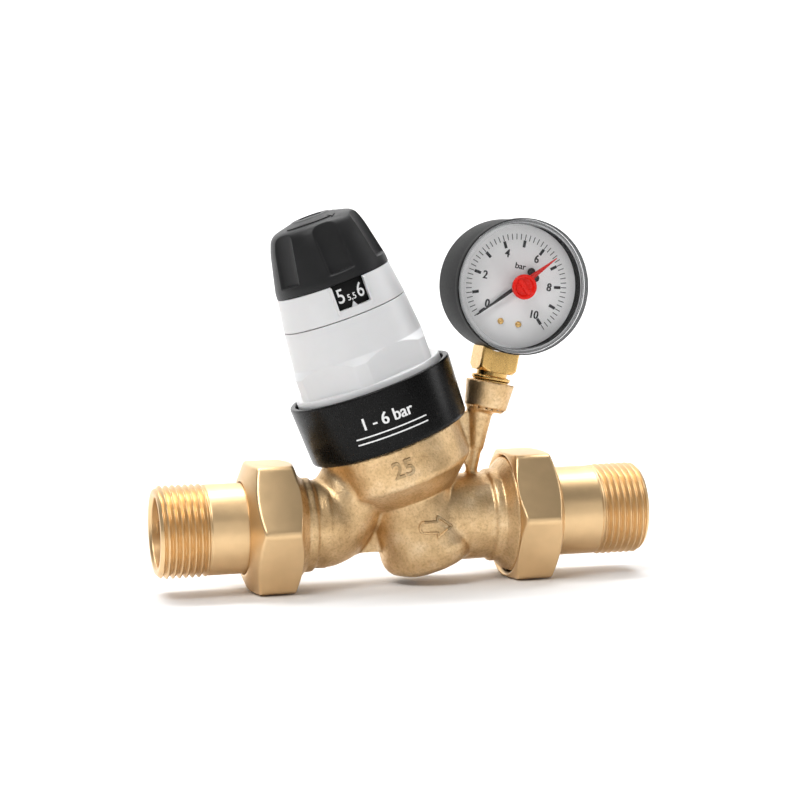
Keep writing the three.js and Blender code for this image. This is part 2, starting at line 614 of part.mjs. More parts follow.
function springBonnet() {
  const outside = turned([
    [0, CLAMP_TOP + GAP],
    [BONNET_THREAD_RADIUS, CLAMP_TOP + GAP],
    [BONNET_THREAD_RADIUS, BODY_TOP + GAP],
    [BONNET_FLANGE_RADIUS, BODY_TOP + GAP],
    [BONNET_FLANGE_RADIUS, BONNET_FLANGE_TOP - 0.8],
    [BONNET_FLANGE_RADIUS - 0.6, BONNET_FLANGE_TOP],
    [BONNET_CORNER_RADIUS, BONNET_FLANGE_TOP],
    [BONNET_CORNER_RADIUS, BONNET_HEX_TOP - 2.4],
    [BONNET_CONE_RADIUS, BONNET_HEX_TOP],
    [BONNET_SEAM_RADIUS, BONNET_SEAM],
    [SPIGOT_RADIUS, BONNET_SEAM],
    [SPIGOT_RADIUS, SPIGOT_TOP],
    [0, SPIGOT_TOP],
  ], FACETS);
  const corner = BONNET_ACROSS_FLATS / Math.sqrt(3);
  const hexHeight = [BONNET_FLANGE_TOP, BONNET_HEX_TOP + PRESS];
  const around = disc(BONNET_FLANGE_RADIUS + PRESS, ...hexHeight, SMALL_FACETS);
  const hexagon = new THREE.CylinderGeometry(corner, corner, hexHeight[1] - hexHeight[0] + 2 * PRESS, 6);
  hexagon.rotateX(Math.PI / 2).translate(0, 0, (hexHeight[0] + hexHeight[1]) / 2);
  hexagon.rotateZ(radians(BONNET_HEX_TURN));
  const inside = turned([
    [0, CLAMP_TOP - PRESS],
    [SPRING_CHAMBER_RADIUS, CLAMP_TOP - PRESS],
    [SPRING_CHAMBER_RADIUS, BONNET_SEAM - 1.2],
    [SPIGOT_RADIUS - 2.2, BONNET_SEAM],
    [SPIGOT_RADIUS - 2.2, SPIGOT_TOP - TOP_WALL],
    [SCREW_RADIUS + 1.6, SPIGOT_TOP - TOP_WALL],
    [SCREW_RADIUS + 1.6, SPIGOT_TOP + PRESS],
    [0, SPIGOT_TOP + PRESS],
  ]);
  return cut(outside, cut(around, hexagon), inside);
}

// The collar that carries the scale window: an open notch at the front, with a raised frame.
function windowCollar() {
  const inner = DRUM_RADIUS + GAP + 0.2;
  const low = BONNET_SEAM + GAP;
  const sill = COLLAR_TOP - WINDOW_HEIGHT;
  const shell = turned([[inner, low], [BONNET_SEAM_RADIUS - 0.05, low], [COLLAR_TOP_RADIUS, COLLAR_TOP],
    [inner, COLLAR_TOP]], FACETS);
  const half = WINDOW_WIDTH / 2 + WINDOW_FRAME;
  const frameFace = -(COLLAR_TOP_RADIUS + 0.75);
  const frame = common(
    block(-half, half, frameFace, -inner + 1.5, sill - WINDOW_FRAME, COLLAR_TOP - 0.4),
    ring(inner, BONNET_FLANGE_RADIUS, low, COLLAR_TOP, FACETS),
  );
  const side = WINDOW_WIDTH / 2;
  const notch = block(-side, side, -BONNET_FLANGE_RADIUS, 0, sill, COLLAR_TOP + PRESS);
  const triangle = [[-1.1, -0.5], [1.1, -0.5], [0, 1.9]];
  const pointerShape = new THREE.Shape(triangle.map(([x, y]) => new THREE.Vector2(x, y)));
  const pointer = prism(pointerShape, 0, 0.9).rotateX(Math.PI / 2);
  pointer.translate(0, -inner - 0.2, sill);
  return join(cut(join(shell, frame), notch), pointer);
}

function identificationRing() {
  const foot = BAND_TOP + GAP;
  const inner = BODY_NECK_RADIUS + GAP;
  const corner = 3;
  return turned([
    [inner, foot],
    ...arc(RING_FOOT_RADIUS - corner, foot + corner, corner, -90, 0, 3),
    [RING_RIM_RADIUS, RING_TOP - 0.5],
    [RING_RIM_RADIUS - 0.5, RING_TOP],
    [RING_RIM_RADIUS - RING_WALL, RING_TOP],
    [RING_FOOT_RADIUS - RING_WALL + 0.3, foot + 2.4],
    [inner, foot + 2.4],
  ], FACETS);
}

add("spring_bonnet", "white_plastic", springBonnet(), CARTRIDGE_GROUP);
add("window_collar", "white_plastic", windowCollar(), CARTRIDGE_GROUP);
add("identification_ring", "black_plastic", identificationRing(), CARTRIDGE_GROUP);

// ---- Setting spring, its nut and the adjusting screw ------------------------------------------------

const HUB_RADIUS = 8;
const HUB_TOP = SPRING_NUT_FACE + 5.6;
const THRUST_TOP = SPIGOT_TOP - TOP_WALL - GAP;
const WASHER_THICKNESS = 0.8;
const THRUST_COLLAR = [THRUST_TOP - WASHER_THICKNESS - GAP - 2, THRUST_TOP - WASHER_THICKNESS - GAP];
const SCREW_FOOT = 58;
const SHANK_TOP = 101;

class Helix extends THREE.Curve {
  constructor(radius, low, high, turns) {
    super();
    Object.assign(this, { radius, low, high, turns });
  }
  getPoint(t, target = new THREE.Vector3()) {
    const angle = 2 * Math.PI * this.turns * t;
    return target.set(this.radius * Math.cos(angle), this.radius * Math.sin(angle),
      this.low + (this.high - this.low) * t);
  }
}

// Straight slices of a round wire along a helix, joined end to end.
function coil(radius, wire, low, high, turns) {
  const path = new Helix(radius, low + wire / 2, high - wire / 2, turns);
  const section = new THREE.Shape().absarc(0, 0, wire / 2, 0, 2 * Math.PI, false);
  const steps = Math.round(turns * 12);
  return new THREE.ExtrudeGeometry(section, { steps, curveSegments: 3, extrudePath: path });
}

add("setting_spring", "steel",
  coil(SPRING_MEAN_RADIUS, SPRING_WIRE, SPRING_PLATE_TOP + GAP, SPRING_NUT_FACE - GAP, SPRING_TURNS),
  CARTRIDGE_GROUP);
add("spring_nut", "bright_brass", turned([
  [SCREW_RADIUS + GAP, SPRING_NUT_FACE - 7],
  [HUB_RADIUS, SPRING_NUT_FACE - 7],
  [HUB_RADIUS, SPRING_NUT_FACE],
  [SPRING_CHAMBER_RADIUS - 1, SPRING_NUT_FACE],
  [SPRING_CHAMBER_RADIUS - 1, SPRING_NUT_FACE + 2.6],
  [HUB_RADIUS, SPRING_NUT_FACE + 2.6],
  [HUB_RADIUS, HUB_TOP],
  [SCREW_RADIUS + GAP, HUB_TOP],
]), CARTRIDGE_GROUP);
add("adjusting_screw", "bright_brass", cut(
  turned([
    [0, SCREW_FOOT],
    [SCREW_RADIUS - 0.8, SCREW_FOOT],
    [SCREW_RADIUS, SCREW_FOOT + 0.8],
    [SCREW_RADIUS, THRUST_COLLAR[0]],
    [SCREW_RADIUS + 4, THRUST_COLLAR[0]],
    [SCREW_RADIUS + 4, THRUST_COLLAR[1]],
    [SHANK_RADIUS, THRUST_COLLAR[1]],
    [SHANK_RADIUS, SHANK_TOP],
    [0, SHANK_TOP],
  ]),
  disc(1.7 + GAP, SHANK_TOP - 9, SHANK_TOP + PRESS, SMALL_FACETS),
), CARTRIDGE_GROUP);
add("thrust_washer", "white_plastic",
  ring(SHANK_RADIUS + GAP, SCREW_RADIUS + 4, THRUST_TOP - WASHER_THICKNESS, THRUST_TOP), CARTRIDGE_GROUP);

// ---- Knob and scale drum, which turn with the screw ---------------------------------------------------

const KNOB_RIM = COLLAR_TOP + GAP;
const HEAD_RADIUS = 3.4;
const HEAD_TOP = KNOB_TOP - 0.5;
const HEAD_HEIGHT = 2.4;
const DRUM_TOP = COLLAR_TOP;

function adjustmentKnob() {
  const outside = turned([
    [0, KNOB_RIM],
    [KNOB_RIM_RADIUS, KNOB_RIM],
    [KNOB_RIM_RADIUS - 0.1, KNOB_RIM + 2],
    [KNOB_SHOULDER_RADIUS + 1, KNOB_SHOULDER - 2],
    ...arc(KNOB_SHOULDER_RADIUS - 3.4, KNOB_SHOULDER - 0.6, 3.9, 10, 75, 4),
    [7, KNOB_TOP - 0.3],
    [0, KNOB_TOP],
  ], FACETS);
  const slope = (KNOB_RIM_RADIUS - KNOB_SHOULDER_RADIUS) / (KNOB_SHOULDER - KNOB_RIM);
  const grips = Array.from({ length: KNOB_GRIPS }, (_, i) => {
    const scoop = disc(9, 0, 30, SMALL_FACETS).scale(0.55, 0.22, 1).rotateX(-Math.atan(slope));
    const turn = radians((360 / KNOB_GRIPS) * i);
    return scoop.translate(0, -KNOB_RIM_RADIUS + 0.2, KNOB_RIM + 3.5).rotateZ(turn);
  });
  const inner = KNOB_RIM_RADIUS - KNOB_WALL;
  const hollow = turned([
    [HUB_RADIUS, KNOB_RIM - PRESS],
    [inner, KNOB_RIM - PRESS],
    [inner, KNOB_RIM + 2],
    [KNOB_SHOULDER_RADIUS - KNOB_WALL - 1.4, KNOB_SHOULDER - 3],
    [HUB_RADIUS, KNOB_SHOULDER],
  ]);
  return cut(
    outside,
    ...grips,
    hollow,
    disc(SHANK_RADIUS + GAP, KNOB_RIM - PRESS, SHANK_TOP + GAP, SMALL_FACETS),
    disc(1.7 + GAP, SHANK_TOP - PRESS, KNOB_TOP, SMALL_FACETS),
    disc(HEAD_RADIUS + GAP, HEAD_TOP - HEAD_HEIGHT - GAP, KNOB_TOP + PRESS, SMALL_FACETS),
  );
}

add("adjustment_knob", "knob_plastic", adjustmentKnob(), CARTRIDGE_GROUP);
add("knob_fixing_screw", "knob_plastic", cut(
  join(
    disc(1.7, SHANK_TOP - 7, HEAD_TOP - HEAD_HEIGHT + PRESS, SMALL_FACETS),
    disc(HEAD_RADIUS, HEAD_TOP - HEAD_HEIGHT, HEAD_TOP, SMALL_FACETS),
  ),
  block(-HEAD_RADIUS - PRESS, HEAD_RADIUS + PRESS, -0.6, 0.6, HEAD_TOP - 1.2, HEAD_TOP + PRESS),
), CARTRIDGE_GROUP);
add("scale_drum", "drum_plastic", turned([
  [HUB_RADIUS + GAP, DRUM_TOP - 2],
  [DRUM_RADIUS - DRUM_WALL, DRUM_TOP - 2],
  [DRUM_RADIUS - DRUM_WALL, BONNET_SEAM + 1.2],
  [DRUM_RADIUS, BONNET_SEAM + 1.2],
  [DRUM_RADIUS, DRUM_TOP],
  [HUB_RADIUS + GAP, DRUM_TOP],
]), CARTRIDGE_GROUP);

// ---- Pressure gauge ------------------------------------------------------------------------------
// In the gauge frame +Z runs up the stem; in the dial frame +Z faces the reader and +Y is up the stem.

const CASE_FRONT = -GAUGE_FRONT - 4.2;
const DIAL_RADIUS = CASE_RADIUS - GAUGE_WALL - 0.8;
const DIAL_HEIGHT = -DIAL_PLANE;
const WINDOW_THICKNESS = 1.5;
const HUB_HOLE = 2;
const NECK_HOLE = 4.6;
const POST_TOP = -14.2; // the socket's post ends just under the movement

function gaugeSocket() {
  const half = SOCKET_ACROSS_FLATS / 2;
  const squareTop = -(CASE_RADIUS - 5.5);
  const square = common(
    block(-half, half, -half, half, SOCKET_FOOT, squareTop),
    turned([
      [0, SOCKET_FOOT],
      [half + 0.6, SOCKET_FOOT],
      [half + 2.2, SOCKET_FOOT + 1.2],
      [half + 2.2, squareTop],
      [0, squareTop],
    ]),
  );
  const thread = GAUGE_THREAD / 2;
  const foot = BOSS_FOOT + 1.4;
  const neck = turned([
    [0, foot],
    [thread - 0.8, foot],
    [thread, foot + 0.8],
    [thread, SOCKET_FOOT - 1.6],
    [thread - 0.9, SOCKET_FOOT - 1.4],
    [thread - 0.9, SOCKET_FOOT + PRESS],
    [0, SOCKET_FOOT + PRESS],
  ], SMALL_FACETS);
  const post = disc(NECK_HOLE - GAP, -(CASE_RADIUS + 1), POST_TOP, SMALL_FACETS);
  const caseHole = disc(CASE_RADIUS + GAP, -CASE_RADIUS, CASE_RADIUS, FACETS).rotateX(Math.PI / 2);
  const passage = disc(1.3, foot - PRESS, POST_TOP - 1.8, 10);
  return cut(join(cut(join(square, neck), caseHole), post), passage);
}

function gaugeCase() {
  const back = -GAUGE_BACK;
  const shell = turned([
    [0, back],
    [CASE_RADIUS - 2, back],
    [CASE_RADIUS - 0.4, back + 1.6],
    [CASE_RADIUS - 0.4, CASE_FRONT],
    [CASE_RADIUS - GAUGE_WALL - 0.4, CASE_FRONT],
    [CASE_RADIUS - GAUGE_WALL - 0.4, back + GAUGE_WALL + 1],
    [CASE_RADIUS - GAUGE_WALL - 1.4, back + GAUGE_WALL],
    [0, back + GAUGE_WALL],
  ], FACETS);
  const stemHole = disc(NECK_HOLE, 0, CASE_RADIUS + PRESS, SMALL_FACETS).rotateX(Math.PI / 2);
  return cut(shell, stemHole);
}

// Clear lid that clips over the front of the case, with a hole for the set hand's hub.
function gaugeWindow() {
  const front = -GAUGE_FRONT;
  return turned([
    [HUB_HOLE + GAP, front - WINDOW_THICKNESS - 0.6],
    [CASE_RADIUS - 4, front - WINDOW_THICKNESS - 0.6],
    [CASE_RADIUS - GAUGE_WALL, front - WINDOW_THICKNESS],
    [CASE_RADIUS - GAUGE_WALL, CASE_FRONT + GAP],
    [CASE_RADIUS, CASE_FRONT + GAP],
    [CASE_RADIUS, front - 1],
    [CASE_RADIUS - 1, front],
    [CASE_RADIUS - 2.2, front],
    [CASE_RADIUS - 3.4, front - 0.6],
    [HUB_HOLE + GAP, front - 0.6],
  ], FACETS);
}

// A flat hand in the dial plane, turned clockwise from the top of the dial.
function hand(outline, low, high, clockwise) {
  const shape = new THREE.Shape(outline.map(([x, y]) => new THREE.Vector2(x, y)));
  return prism(shape, low, high).rotateZ(-radians(clockwise));
}

const ARBOR_RADIUS = 0.6;
const PINION_RADIUS = 1.2;
const SECTOR_RADIUS = PINION_RADIUS * SECTOR_RATIO;
const SECTOR_PIVOT = [0, -(PINION_RADIUS + SECTOR_RADIUS + GAP)]; // below the centre of the dial
const SECTOR_SWING = 270 / SECTOR_RATIO;
const MOVEMENT = { back: -2, front: 6.4 };
const POINTER_HEIGHT = DIAL_HEIGHT + 1.1;
const SET_HAND_HEIGHT = POINTER_HEIGHT + 2.4;
const DIAL_GROUP = groups.DIAL;

const dialScrewPlaces = [-1, 1].map((side) => [side * 3.4, -13.4]);
const dialHoles = dialScrewPlaces.map(([x, y]) =>
  disc(0.7, DIAL_HEIGHT - 3, DIAL_HEIGHT + 2, 10).translate(x, y, 0));

add("gauge_socket", "bright_brass", gaugeSocket(), groups.GAUGE);
add("gauge_case", "black_plastic", gaugeCase(), DIAL_GROUP);
add("gauge_window", "window_plastic", gaugeWindow(), DIAL_GROUP);
add("gauge_dial", "dial_paint", cut(
  ring(ARBOR_RADIUS + GAP, DIAL_RADIUS, DIAL_HEIGHT - 0.8, DIAL_HEIGHT, FACETS),
  ...dialHoles,
), DIAL_GROUP);
["left", "right"].forEach((side, i) => {
  const [x, y] = dialScrewPlaces[i];
  const screw = join(disc(0.4, DIAL_HEIGHT - 2, DIAL_HEIGHT + 0.5, 10),
    disc(1.1, DIAL_HEIGHT + GAP, DIAL_HEIGHT + 0.8, 12));
  add("dial_screw_" + side, "bright_brass", screw.translate(x, y, 0), DIAL_GROUP);
});

add("pressure_pointer", "pointer_paint", cut(
  join(
    hand([[-0.75, 0], [-0.75, -6.5], [-1.9, -8.6], [0, -8.2], [1.9, -8.6], [0.75, -6.5], [0.75, 0],
      [0.12, 17], [-0.12, 17]].reverse(), POINTER_HEIGHT, POINTER_HEIGHT + 0.5, POINTER_ZERO),
    disc(2, POINTER_HEIGHT, POINTER_HEIGHT + 0.9, SMALL_FACETS),
  ),
  disc(ARBOR_RADIUS + GAP, POINTER_HEIGHT - PRESS, POINTER_HEIGHT + 2, 10),
), DIAL_GROUP);
add("pointer_arbor", "bright_brass", join(
  disc(ARBOR_RADIUS, MOVEMENT.back - 1, POINTER_HEIGHT + 1.2, 10),
  disc(PINION_RADIUS, MOVEMENT.back + 2.6, MOVEMENT.front - 2.2, 12),
), DIAL_GROUP);

// The movement: two plates on four pillars, the swinging sector and the curved pressure tube.
function movementFrame() {
  const plate = (low) => block(-4.5, 4.5, SECTOR_PIVOT[1] - 2.6, 3.4, low, low + 1);
  const posts = [[-3.6, 2.4], [3.6, 2.4], [-3.6, SECTOR_PIVOT[1] - 1.8], [3.6, SECTOR_PIVOT[1] - 1.8]];
  const pillars = posts.map(([x, y]) => disc(0.8, MOVEMENT.back, MOVEMENT.front, 8).translate(x, y, 0));
  const holes = [[0, 0], SECTOR_PIVOT].map(([x, y]) =>
    disc(ARBOR_RADIUS + GAP, MOVEMENT.back - 2, MOVEMENT.front + 2, 10).translate(x, y, 0));
  return cut(join(plate(MOVEMENT.back), plate(MOVEMENT.front - 1), ...pillars), ...holes);
}

function sectorGear() {
  const [, pivotY] = SECTOR_PIVOT;
  const shape = new THREE.Shape();
  shape.absarc(0, 0, 1.6, radians(200), radians(340), false);
  shape.absarc(0, 0, SECTOR_RADIUS, radians(87 - SECTOR_SWING), radians(93), false);
  const arm = prism(shape, 1.2, 2);
  const pivot = disc(ARBOR_RADIUS, MOVEMENT.back - 1, MOVEMENT.front + 1, 10);
  return join(arm, pivot).translate(0, pivotY, 0);
}

add("movement_frame", "bright_brass", movementFrame(), DIAL_GROUP);
add("sector_gear", "bright_brass", sectorGear(), DIAL_GROUP);

function bourdonTube() {
  const section = new THREE.Shape().absellipse(0, 0, 0.9, 2.4, 0, 2 * Math.PI, false);
  const bend = new THREE.Shape().absarc(0, 0, 16, radians(-68), radians(200), false);
  const points = bend.getPoints(9).map(({ x, y }) => new THREE.Vector3(x, y, 0));
  const path = new THREE.CatmullRomCurve3(points);
  return new THREE.ExtrudeGeometry(section, { steps: 20, curveSegments: 3, extrudePath: path });
}
add("bourdon_tube", "bright_brass", bourdonTube(), DIAL_GROUP);

// Red set hand inside the window, with its hub in the window's centre.
const SET_HAND_OUTLINE = [[-0.5, 0], [0.5, 0], [0.15, 19.4], [-0.15, 19.4]];
add("set_hand", "red_plastic", cut(
  join(
    hand(SET_HAND_OUTLINE, SET_HAND_HEIGHT, SET_HAND_HEIGHT + 0.5, SET_HAND_AT),
    disc(2.6, SET_HAND_HEIGHT, SET_HAND_HEIGHT + 1, SMALL_FACETS),
  ),
  disc(1 + GAP, SET_HAND_HEIGHT - PRESS, SET_HAND_HEIGHT + 2, 10),
), DIAL_GROUP);
add("set_hand_hub", "red_plastic", cut(
  join(
    disc(1, SET_HAND_HEIGHT + 0.2, -GAUGE_FRONT, 10),
    disc(HUB_HOLE, SET_HAND_HEIGHT + 1 + GAP, -GAUGE_FRONT, SMALL_FACETS),
    turned([[0, -GAUGE_FRONT - 0.6 + GAP], [4.5, -GAUGE_FRONT - 0.6 + GAP], [4.5, -GAUGE_FRONT + 1],
      [3.9, -GAUGE_FRONT + 1.7], [0, -GAUGE_FRONT + 1.9]], SMALL_FACETS),
  ),
  block(-2.2, 2.2, -0.45, 0.45, -GAUGE_FRONT + 0.9, -GAUGE_FRONT + 3),
  block(-0.45, 0.45, -2.2, 2.2, -GAUGE_FRONT + 0.9, -GAUGE_FRONT + 3),
), DIAL_GROUP);

export default valve;
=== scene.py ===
"""Looks of an inclined-cartridge pressure reducing valve with union ends and a pressure gauge.

Sizes are in millimetres and angles in degrees. Each piece is shaped in a local frame taken from
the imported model's joints, and its mesh is stored in metres in the model's frame.
"""

import json
from math import asin, atan2, cos, degrees, hypot, pi, radians, sin, sqrt, tan

import bmesh
import bpy
import numpy as np
from mathutils import Matrix, Vector
from mathutils.bvhtree import BVHTree

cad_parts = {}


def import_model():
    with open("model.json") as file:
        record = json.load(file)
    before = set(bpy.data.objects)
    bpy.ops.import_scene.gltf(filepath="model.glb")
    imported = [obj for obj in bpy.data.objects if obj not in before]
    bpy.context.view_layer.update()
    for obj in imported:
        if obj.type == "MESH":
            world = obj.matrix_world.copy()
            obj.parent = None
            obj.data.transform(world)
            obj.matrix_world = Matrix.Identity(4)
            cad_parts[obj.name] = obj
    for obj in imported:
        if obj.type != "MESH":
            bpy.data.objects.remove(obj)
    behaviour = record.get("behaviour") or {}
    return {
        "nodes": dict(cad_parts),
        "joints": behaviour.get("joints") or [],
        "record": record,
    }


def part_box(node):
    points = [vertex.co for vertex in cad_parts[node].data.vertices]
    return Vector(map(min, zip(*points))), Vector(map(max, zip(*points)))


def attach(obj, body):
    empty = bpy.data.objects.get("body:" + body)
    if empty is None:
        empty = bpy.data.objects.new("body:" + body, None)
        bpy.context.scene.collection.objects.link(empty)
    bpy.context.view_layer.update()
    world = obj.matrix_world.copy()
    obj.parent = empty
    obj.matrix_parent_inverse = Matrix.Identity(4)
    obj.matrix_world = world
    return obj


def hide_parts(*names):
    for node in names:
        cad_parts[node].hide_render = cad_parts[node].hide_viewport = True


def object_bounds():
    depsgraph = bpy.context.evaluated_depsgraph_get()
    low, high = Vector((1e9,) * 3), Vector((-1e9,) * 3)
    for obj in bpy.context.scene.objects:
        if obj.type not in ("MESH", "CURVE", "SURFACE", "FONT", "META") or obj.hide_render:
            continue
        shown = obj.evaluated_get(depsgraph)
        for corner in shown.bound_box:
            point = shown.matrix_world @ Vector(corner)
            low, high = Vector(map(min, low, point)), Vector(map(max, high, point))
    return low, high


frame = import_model()
cad_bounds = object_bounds()

# ---- Driving sizes

MM = 0.001
GAP = 0.3
FAR = 60  # past every edge of the casting, from its middle

# Union ends
NUT_ACROSS_FLATS = 45.4
NUT_CORNER_RADIUS = 3
NUT_CHAMFER = 25
NUT_THREAD_RADIUS = 21.3
NUT_FACE_RADIUS = 22.5
NUT_HOLE_RADIUS = 16.6
UNION_SHOULDER = 3.2
TAIL_COLLAR = 2.8
TAIL_COLLAR_RADIUS = 20.65
TAIL_BARREL_RADIUS = 16.2
BORE_RADIUS = 12.5
THREAD_CREST = 16.6
THREAD_DEPTH = 1.3
THREAD_PITCH = 2.309
THREAD_LENGTH = 18.5
THREAD_CHAMFER = 1.6
CREST_SHARPNESS = 0.96
MOUTH_CHAMFER = 0.9
LUG_HEIGHT, LUG_WIDTH, LUG_LENGTH = 1.5, 4, 9
LUG_SETBACK = 3

# Heights on the cartridge axis, from the pipe axis, and radii about it
BOWL_BOTTOM, BOWL_TOP = -18.4, 9
BAND_BOTTOM, BAND_TOP = 17.6, 31
DIAPHRAGM_LEDGE, BODY_TOP = 32.7, 46
FLANGE_TOP, HEX_TOP, SEAM = 55.8, 66.3, 80
COLLAR_TOP, SHOULDER, KNOB_TOP = 92.2, 110.5, 116.4
BOWL_RADIUS, BAND_RADIUS, NECK_RADIUS = 18, 25.7, 25
FLANGE_RADIUS, CORNER_RADIUS, CONE_RADIUS, SEAM_RADIUS = 27.1, 26.6, 24.2, 22.8
COLLAR_TOP_RADIUS = 21
HEX_ACROSS_FLATS = 48.3
HEX_TURN = -14
SPRING_CHAMBER_RADIUS = 19.3
BONNET_FOOT, BONNET_THREAD_RADIUS = 38, 22.4
SPIGOT_RADIUS = 17.9
SPIGOT_TOP = 89
SCREW_HOLE_RADIUS = 6.6
RING_FOOT_RADIUS, RING_RIM_RADIUS, RING_TOP = 29.2, 30.2, 53.9
KNOB_RIM_RADIUS, KNOB_SHOULDER_RADIUS = 21, 17.3
DRUM_RADIUS = 19.6
WINDOW_WIDTH, WINDOW_HEIGHT, WINDOW_FRAME = 12, 9, 1

# Gauge
CASE_RADIUS = 24.5
CASE_FRONT = 13.8
CASE_BACK = 9.5
LENS_FRONT = 18
DIAL_HEIGHT = 9
DIAL_RADIUS = 22.4
CASE_WALL = 1.3
SOCKET_FLATS, SOCKET_FOOT, SOCKET_TOP = 14, -32, -19
BOSS_TOP, BOSS_FOOT, BOSS_RADIUS = -35.6, -46.4, 8.9
SET_HAND_AT = 43.2

# Marks: the arrow's place along and above the pipe, the others' in degrees round the cartridge
ARROW_AT = (8, -1.2)
SIZE_MARK_AT = (-10, 24)
RING_PRINT_AT = -8
INK, DRUM_INK = 0.04, 0.06  # thickness of printed letters

# Camera and studio
CAMERA_AT = (-217.3, -827.2, 136.1)
CAMERA_AIM = (0.5, 0, 66)
CAMERA_ROLL = 1.16
CAMERA_LENS = 107.1
FLOOR_DROP = 0.5
STUDIO_GREY = (0.2, 0.2, 0.2)

# ---- Frames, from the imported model's joints

def spin(angle, axis="Z"):
    return Matrix.Rotation(radians(angle), 4, axis)


JOINTS = {joint["name"]: joint for joint in frame["joints"]}


def joint_point(name):
    return Vector(JOINTS[name]["pos_m"]) / MM


def upright(origin, up):
    """A frame at origin whose +Z runs along up, which lies in the symmetry plane."""
    return Matrix.Translation(origin) @ Matrix.Rotation(atan2(up.x, up.z), 4, "Y")


PIPE_Z = joint_point("inlet_nut_turn").z
INLET = upright(Vector((0, 0, PIPE_Z)), Vector((-1, 0, 0)))
OUTLET = upright(Vector((0, 0, PIPE_Z)), Vector((1, 0, 0)))
CARTRIDGE = upright(joint_point("knob_turn"), -Vector(JOINTS["knob_turn"]["axis"]))
GAUGE_CENTRE = joint_point("pointer_turn")
GAUGE = upright(GAUGE_CENTRE, GAUGE_CENTRE - joint_point("sector_swing"))
DIAL = GAUGE @ spin(90, "X")
HALF_LENGTH = (cad_bounds[1][0] - cad_bounds[0][0]) / MM / 2


def extent(node):
    low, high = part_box(node)
    return Vector(low) / MM, Vector(high) / MM


# ---- Shapes: (points, faces) in millimetres

def rounded(corners, closed=True, steps=4):
    """The outline through corners (r, h) or (r, h, fillet), each fillet a curve of equal steps."""
    count = len(corners)
    outline = []
    for i, corner in enumerate(corners):
        here = np.array(corner[:2], float)
        fillet = corner[2] if len(corner) > 2 else 0
        ends = not closed and i in (0, count - 1)
        if not fillet or ends:
            outline.append(here)
            continue
        before = np.array(corners[i - 1][:2], float) - here
        after = np.array(corners[(i + 1) % count][:2], float) - here
        reach = min(fillet, 0.48 * np.hypot(*before), 0.48 * np.hypot(*after))
        start = here + before / max(np.hypot(*before), 1e-9) * reach
        end = here + after / max(np.hypot(*after), 1e-9) * reach
        for step in range(steps + 1):
            t = step / steps
            outline.append((1 - t) ** 2 * start + 2 * t * (1 - t) * here + t ** 2 * end)
    return np.array(outline)


def revolve(profile_at, around=144, closed=True):
    """A surface from the outline (r, h) that profile_at gives for each angle about +Z."""
    angles = np.arange(around) * 2 * pi / around
    rows = [profile_at(angle) for angle in angles]
    points = np.array([
        np.column_stack([row[:, 0] * cos(a), row[:, 0] * sin(a), row[:, 1]])
        for row, a in zip(rows, angles)
    ])
    along = points.shape[1]
    faces = []
    for i in range(around):
        j = (i + 1) % around
        for k in range(along if closed else along - 1):
            m = (k + 1) % along
            faces.append((i * along + k, j * along + k, j * along + m, i * along + m))
    return points.reshape(-1, 3), faces


def turned(corners, around=144, closed=True, steps=4):
    outline = rounded(corners, closed, steps)
    return revolve(lambda angle: outline, around, closed)


def prism(outline, low, high):
    """A straight prism over a closed outline of (x, y) points."""
    count = len(outline)
    points = [(x, y, low) for x, y in outline] + [(x, y, high) for x, y in outline]
    sides = [(i, (i + 1) % count, count + (i + 1) % count, count + i) for i in range(count)]
    ends = [tuple(reversed(range(count))), tuple(range(count, 2 * count))]
    return np.array(points, float), sides + ends


def box(x0, x1, y0, y1, z0, z1):
    return prism([(x0, y0), (x1, y0), (x1, y1), (x0, y1)], z0, z1)


def moved(shape, matrix):
    points, faces = shape
    rotation = np.array(matrix.to_3x3())
    return points @ rotation.T + np.array(matrix.translation), faces


def joined(*shapes):
    points, faces, first = [], [], 0
    for shape_points, shape_faces in shapes:
        points.append(np.asarray(shape_points))
        faces += [tuple(first + i for i in face) for face in shape_faces]
        first += len(shape_points)
    return np.concatenate(points), faces


def circle(radius, count, centre):
    return [
        (centre[0] + radius * cos(2 * pi * i / count),
         centre[1] + radius * sin(2 * pi * i / count))
        for i in range(count)
    ]


def polar(radius, angle):
    return radius * cos(radians(angle)), radius * sin(radians(angle))


# ---- Objects

def mesh_of(name, shape, matrix=Matrix.Identity(4)):
    points, faces = moved(shape, matrix)
    mesh = bpy.data.meshes.new(name)
    mesh.from_pydata((points * MM).tolist(), [], faces)
    work = bmesh.new()
    work.from_mesh(mesh)
    bmesh.ops.remove_doubles(work, verts=work.verts, dist=1e-3 * MM)
    bmesh.ops.recalc_face_normals(work, faces=work.faces)
    work.to_mesh(mesh)
    work.free()
    return mesh


def placed(name, data):
    thing = bpy.data.objects.new(name, data)
    bpy.context.scene.collection.objects.link(thing)
    return thing


def scratch(name, shape, matrix=Matrix.Identity(4)):
    return placed(name, mesh_of(name, shape, matrix))


def bake_modifiers(thing):
    graph = bpy.context.evaluated_depsgraph_get()
    mesh = bpy.data.meshes.new_from_object(thing.evaluated_get(graph))
    thing.modifiers.clear()
    thing.data = mesh


def carve(thing, *tools, operation="DIFFERENCE"):
    for tool in tools:
        modifier = thing.modifiers.new("carve", "BOOLEAN")
        modifier.operation = operation
        modifier.solver = "EXACT"
        modifier.object = tool
        bake_modifiers(thing)
        bpy.data.objects.remove(tool)
    return thing


def bevel(thing, width, segments):
    """Rounds off the edges that turn by more than 30 degrees."""
    modifier = thing.modifiers.new("bevel", "BEVEL")
    modifier.width = width * MM
    modifier.segments = segments
    modifier.limit_method = "ANGLE"
    modifier.angle_limit = radians(30)
    bake_modifiers(thing)
    return thing


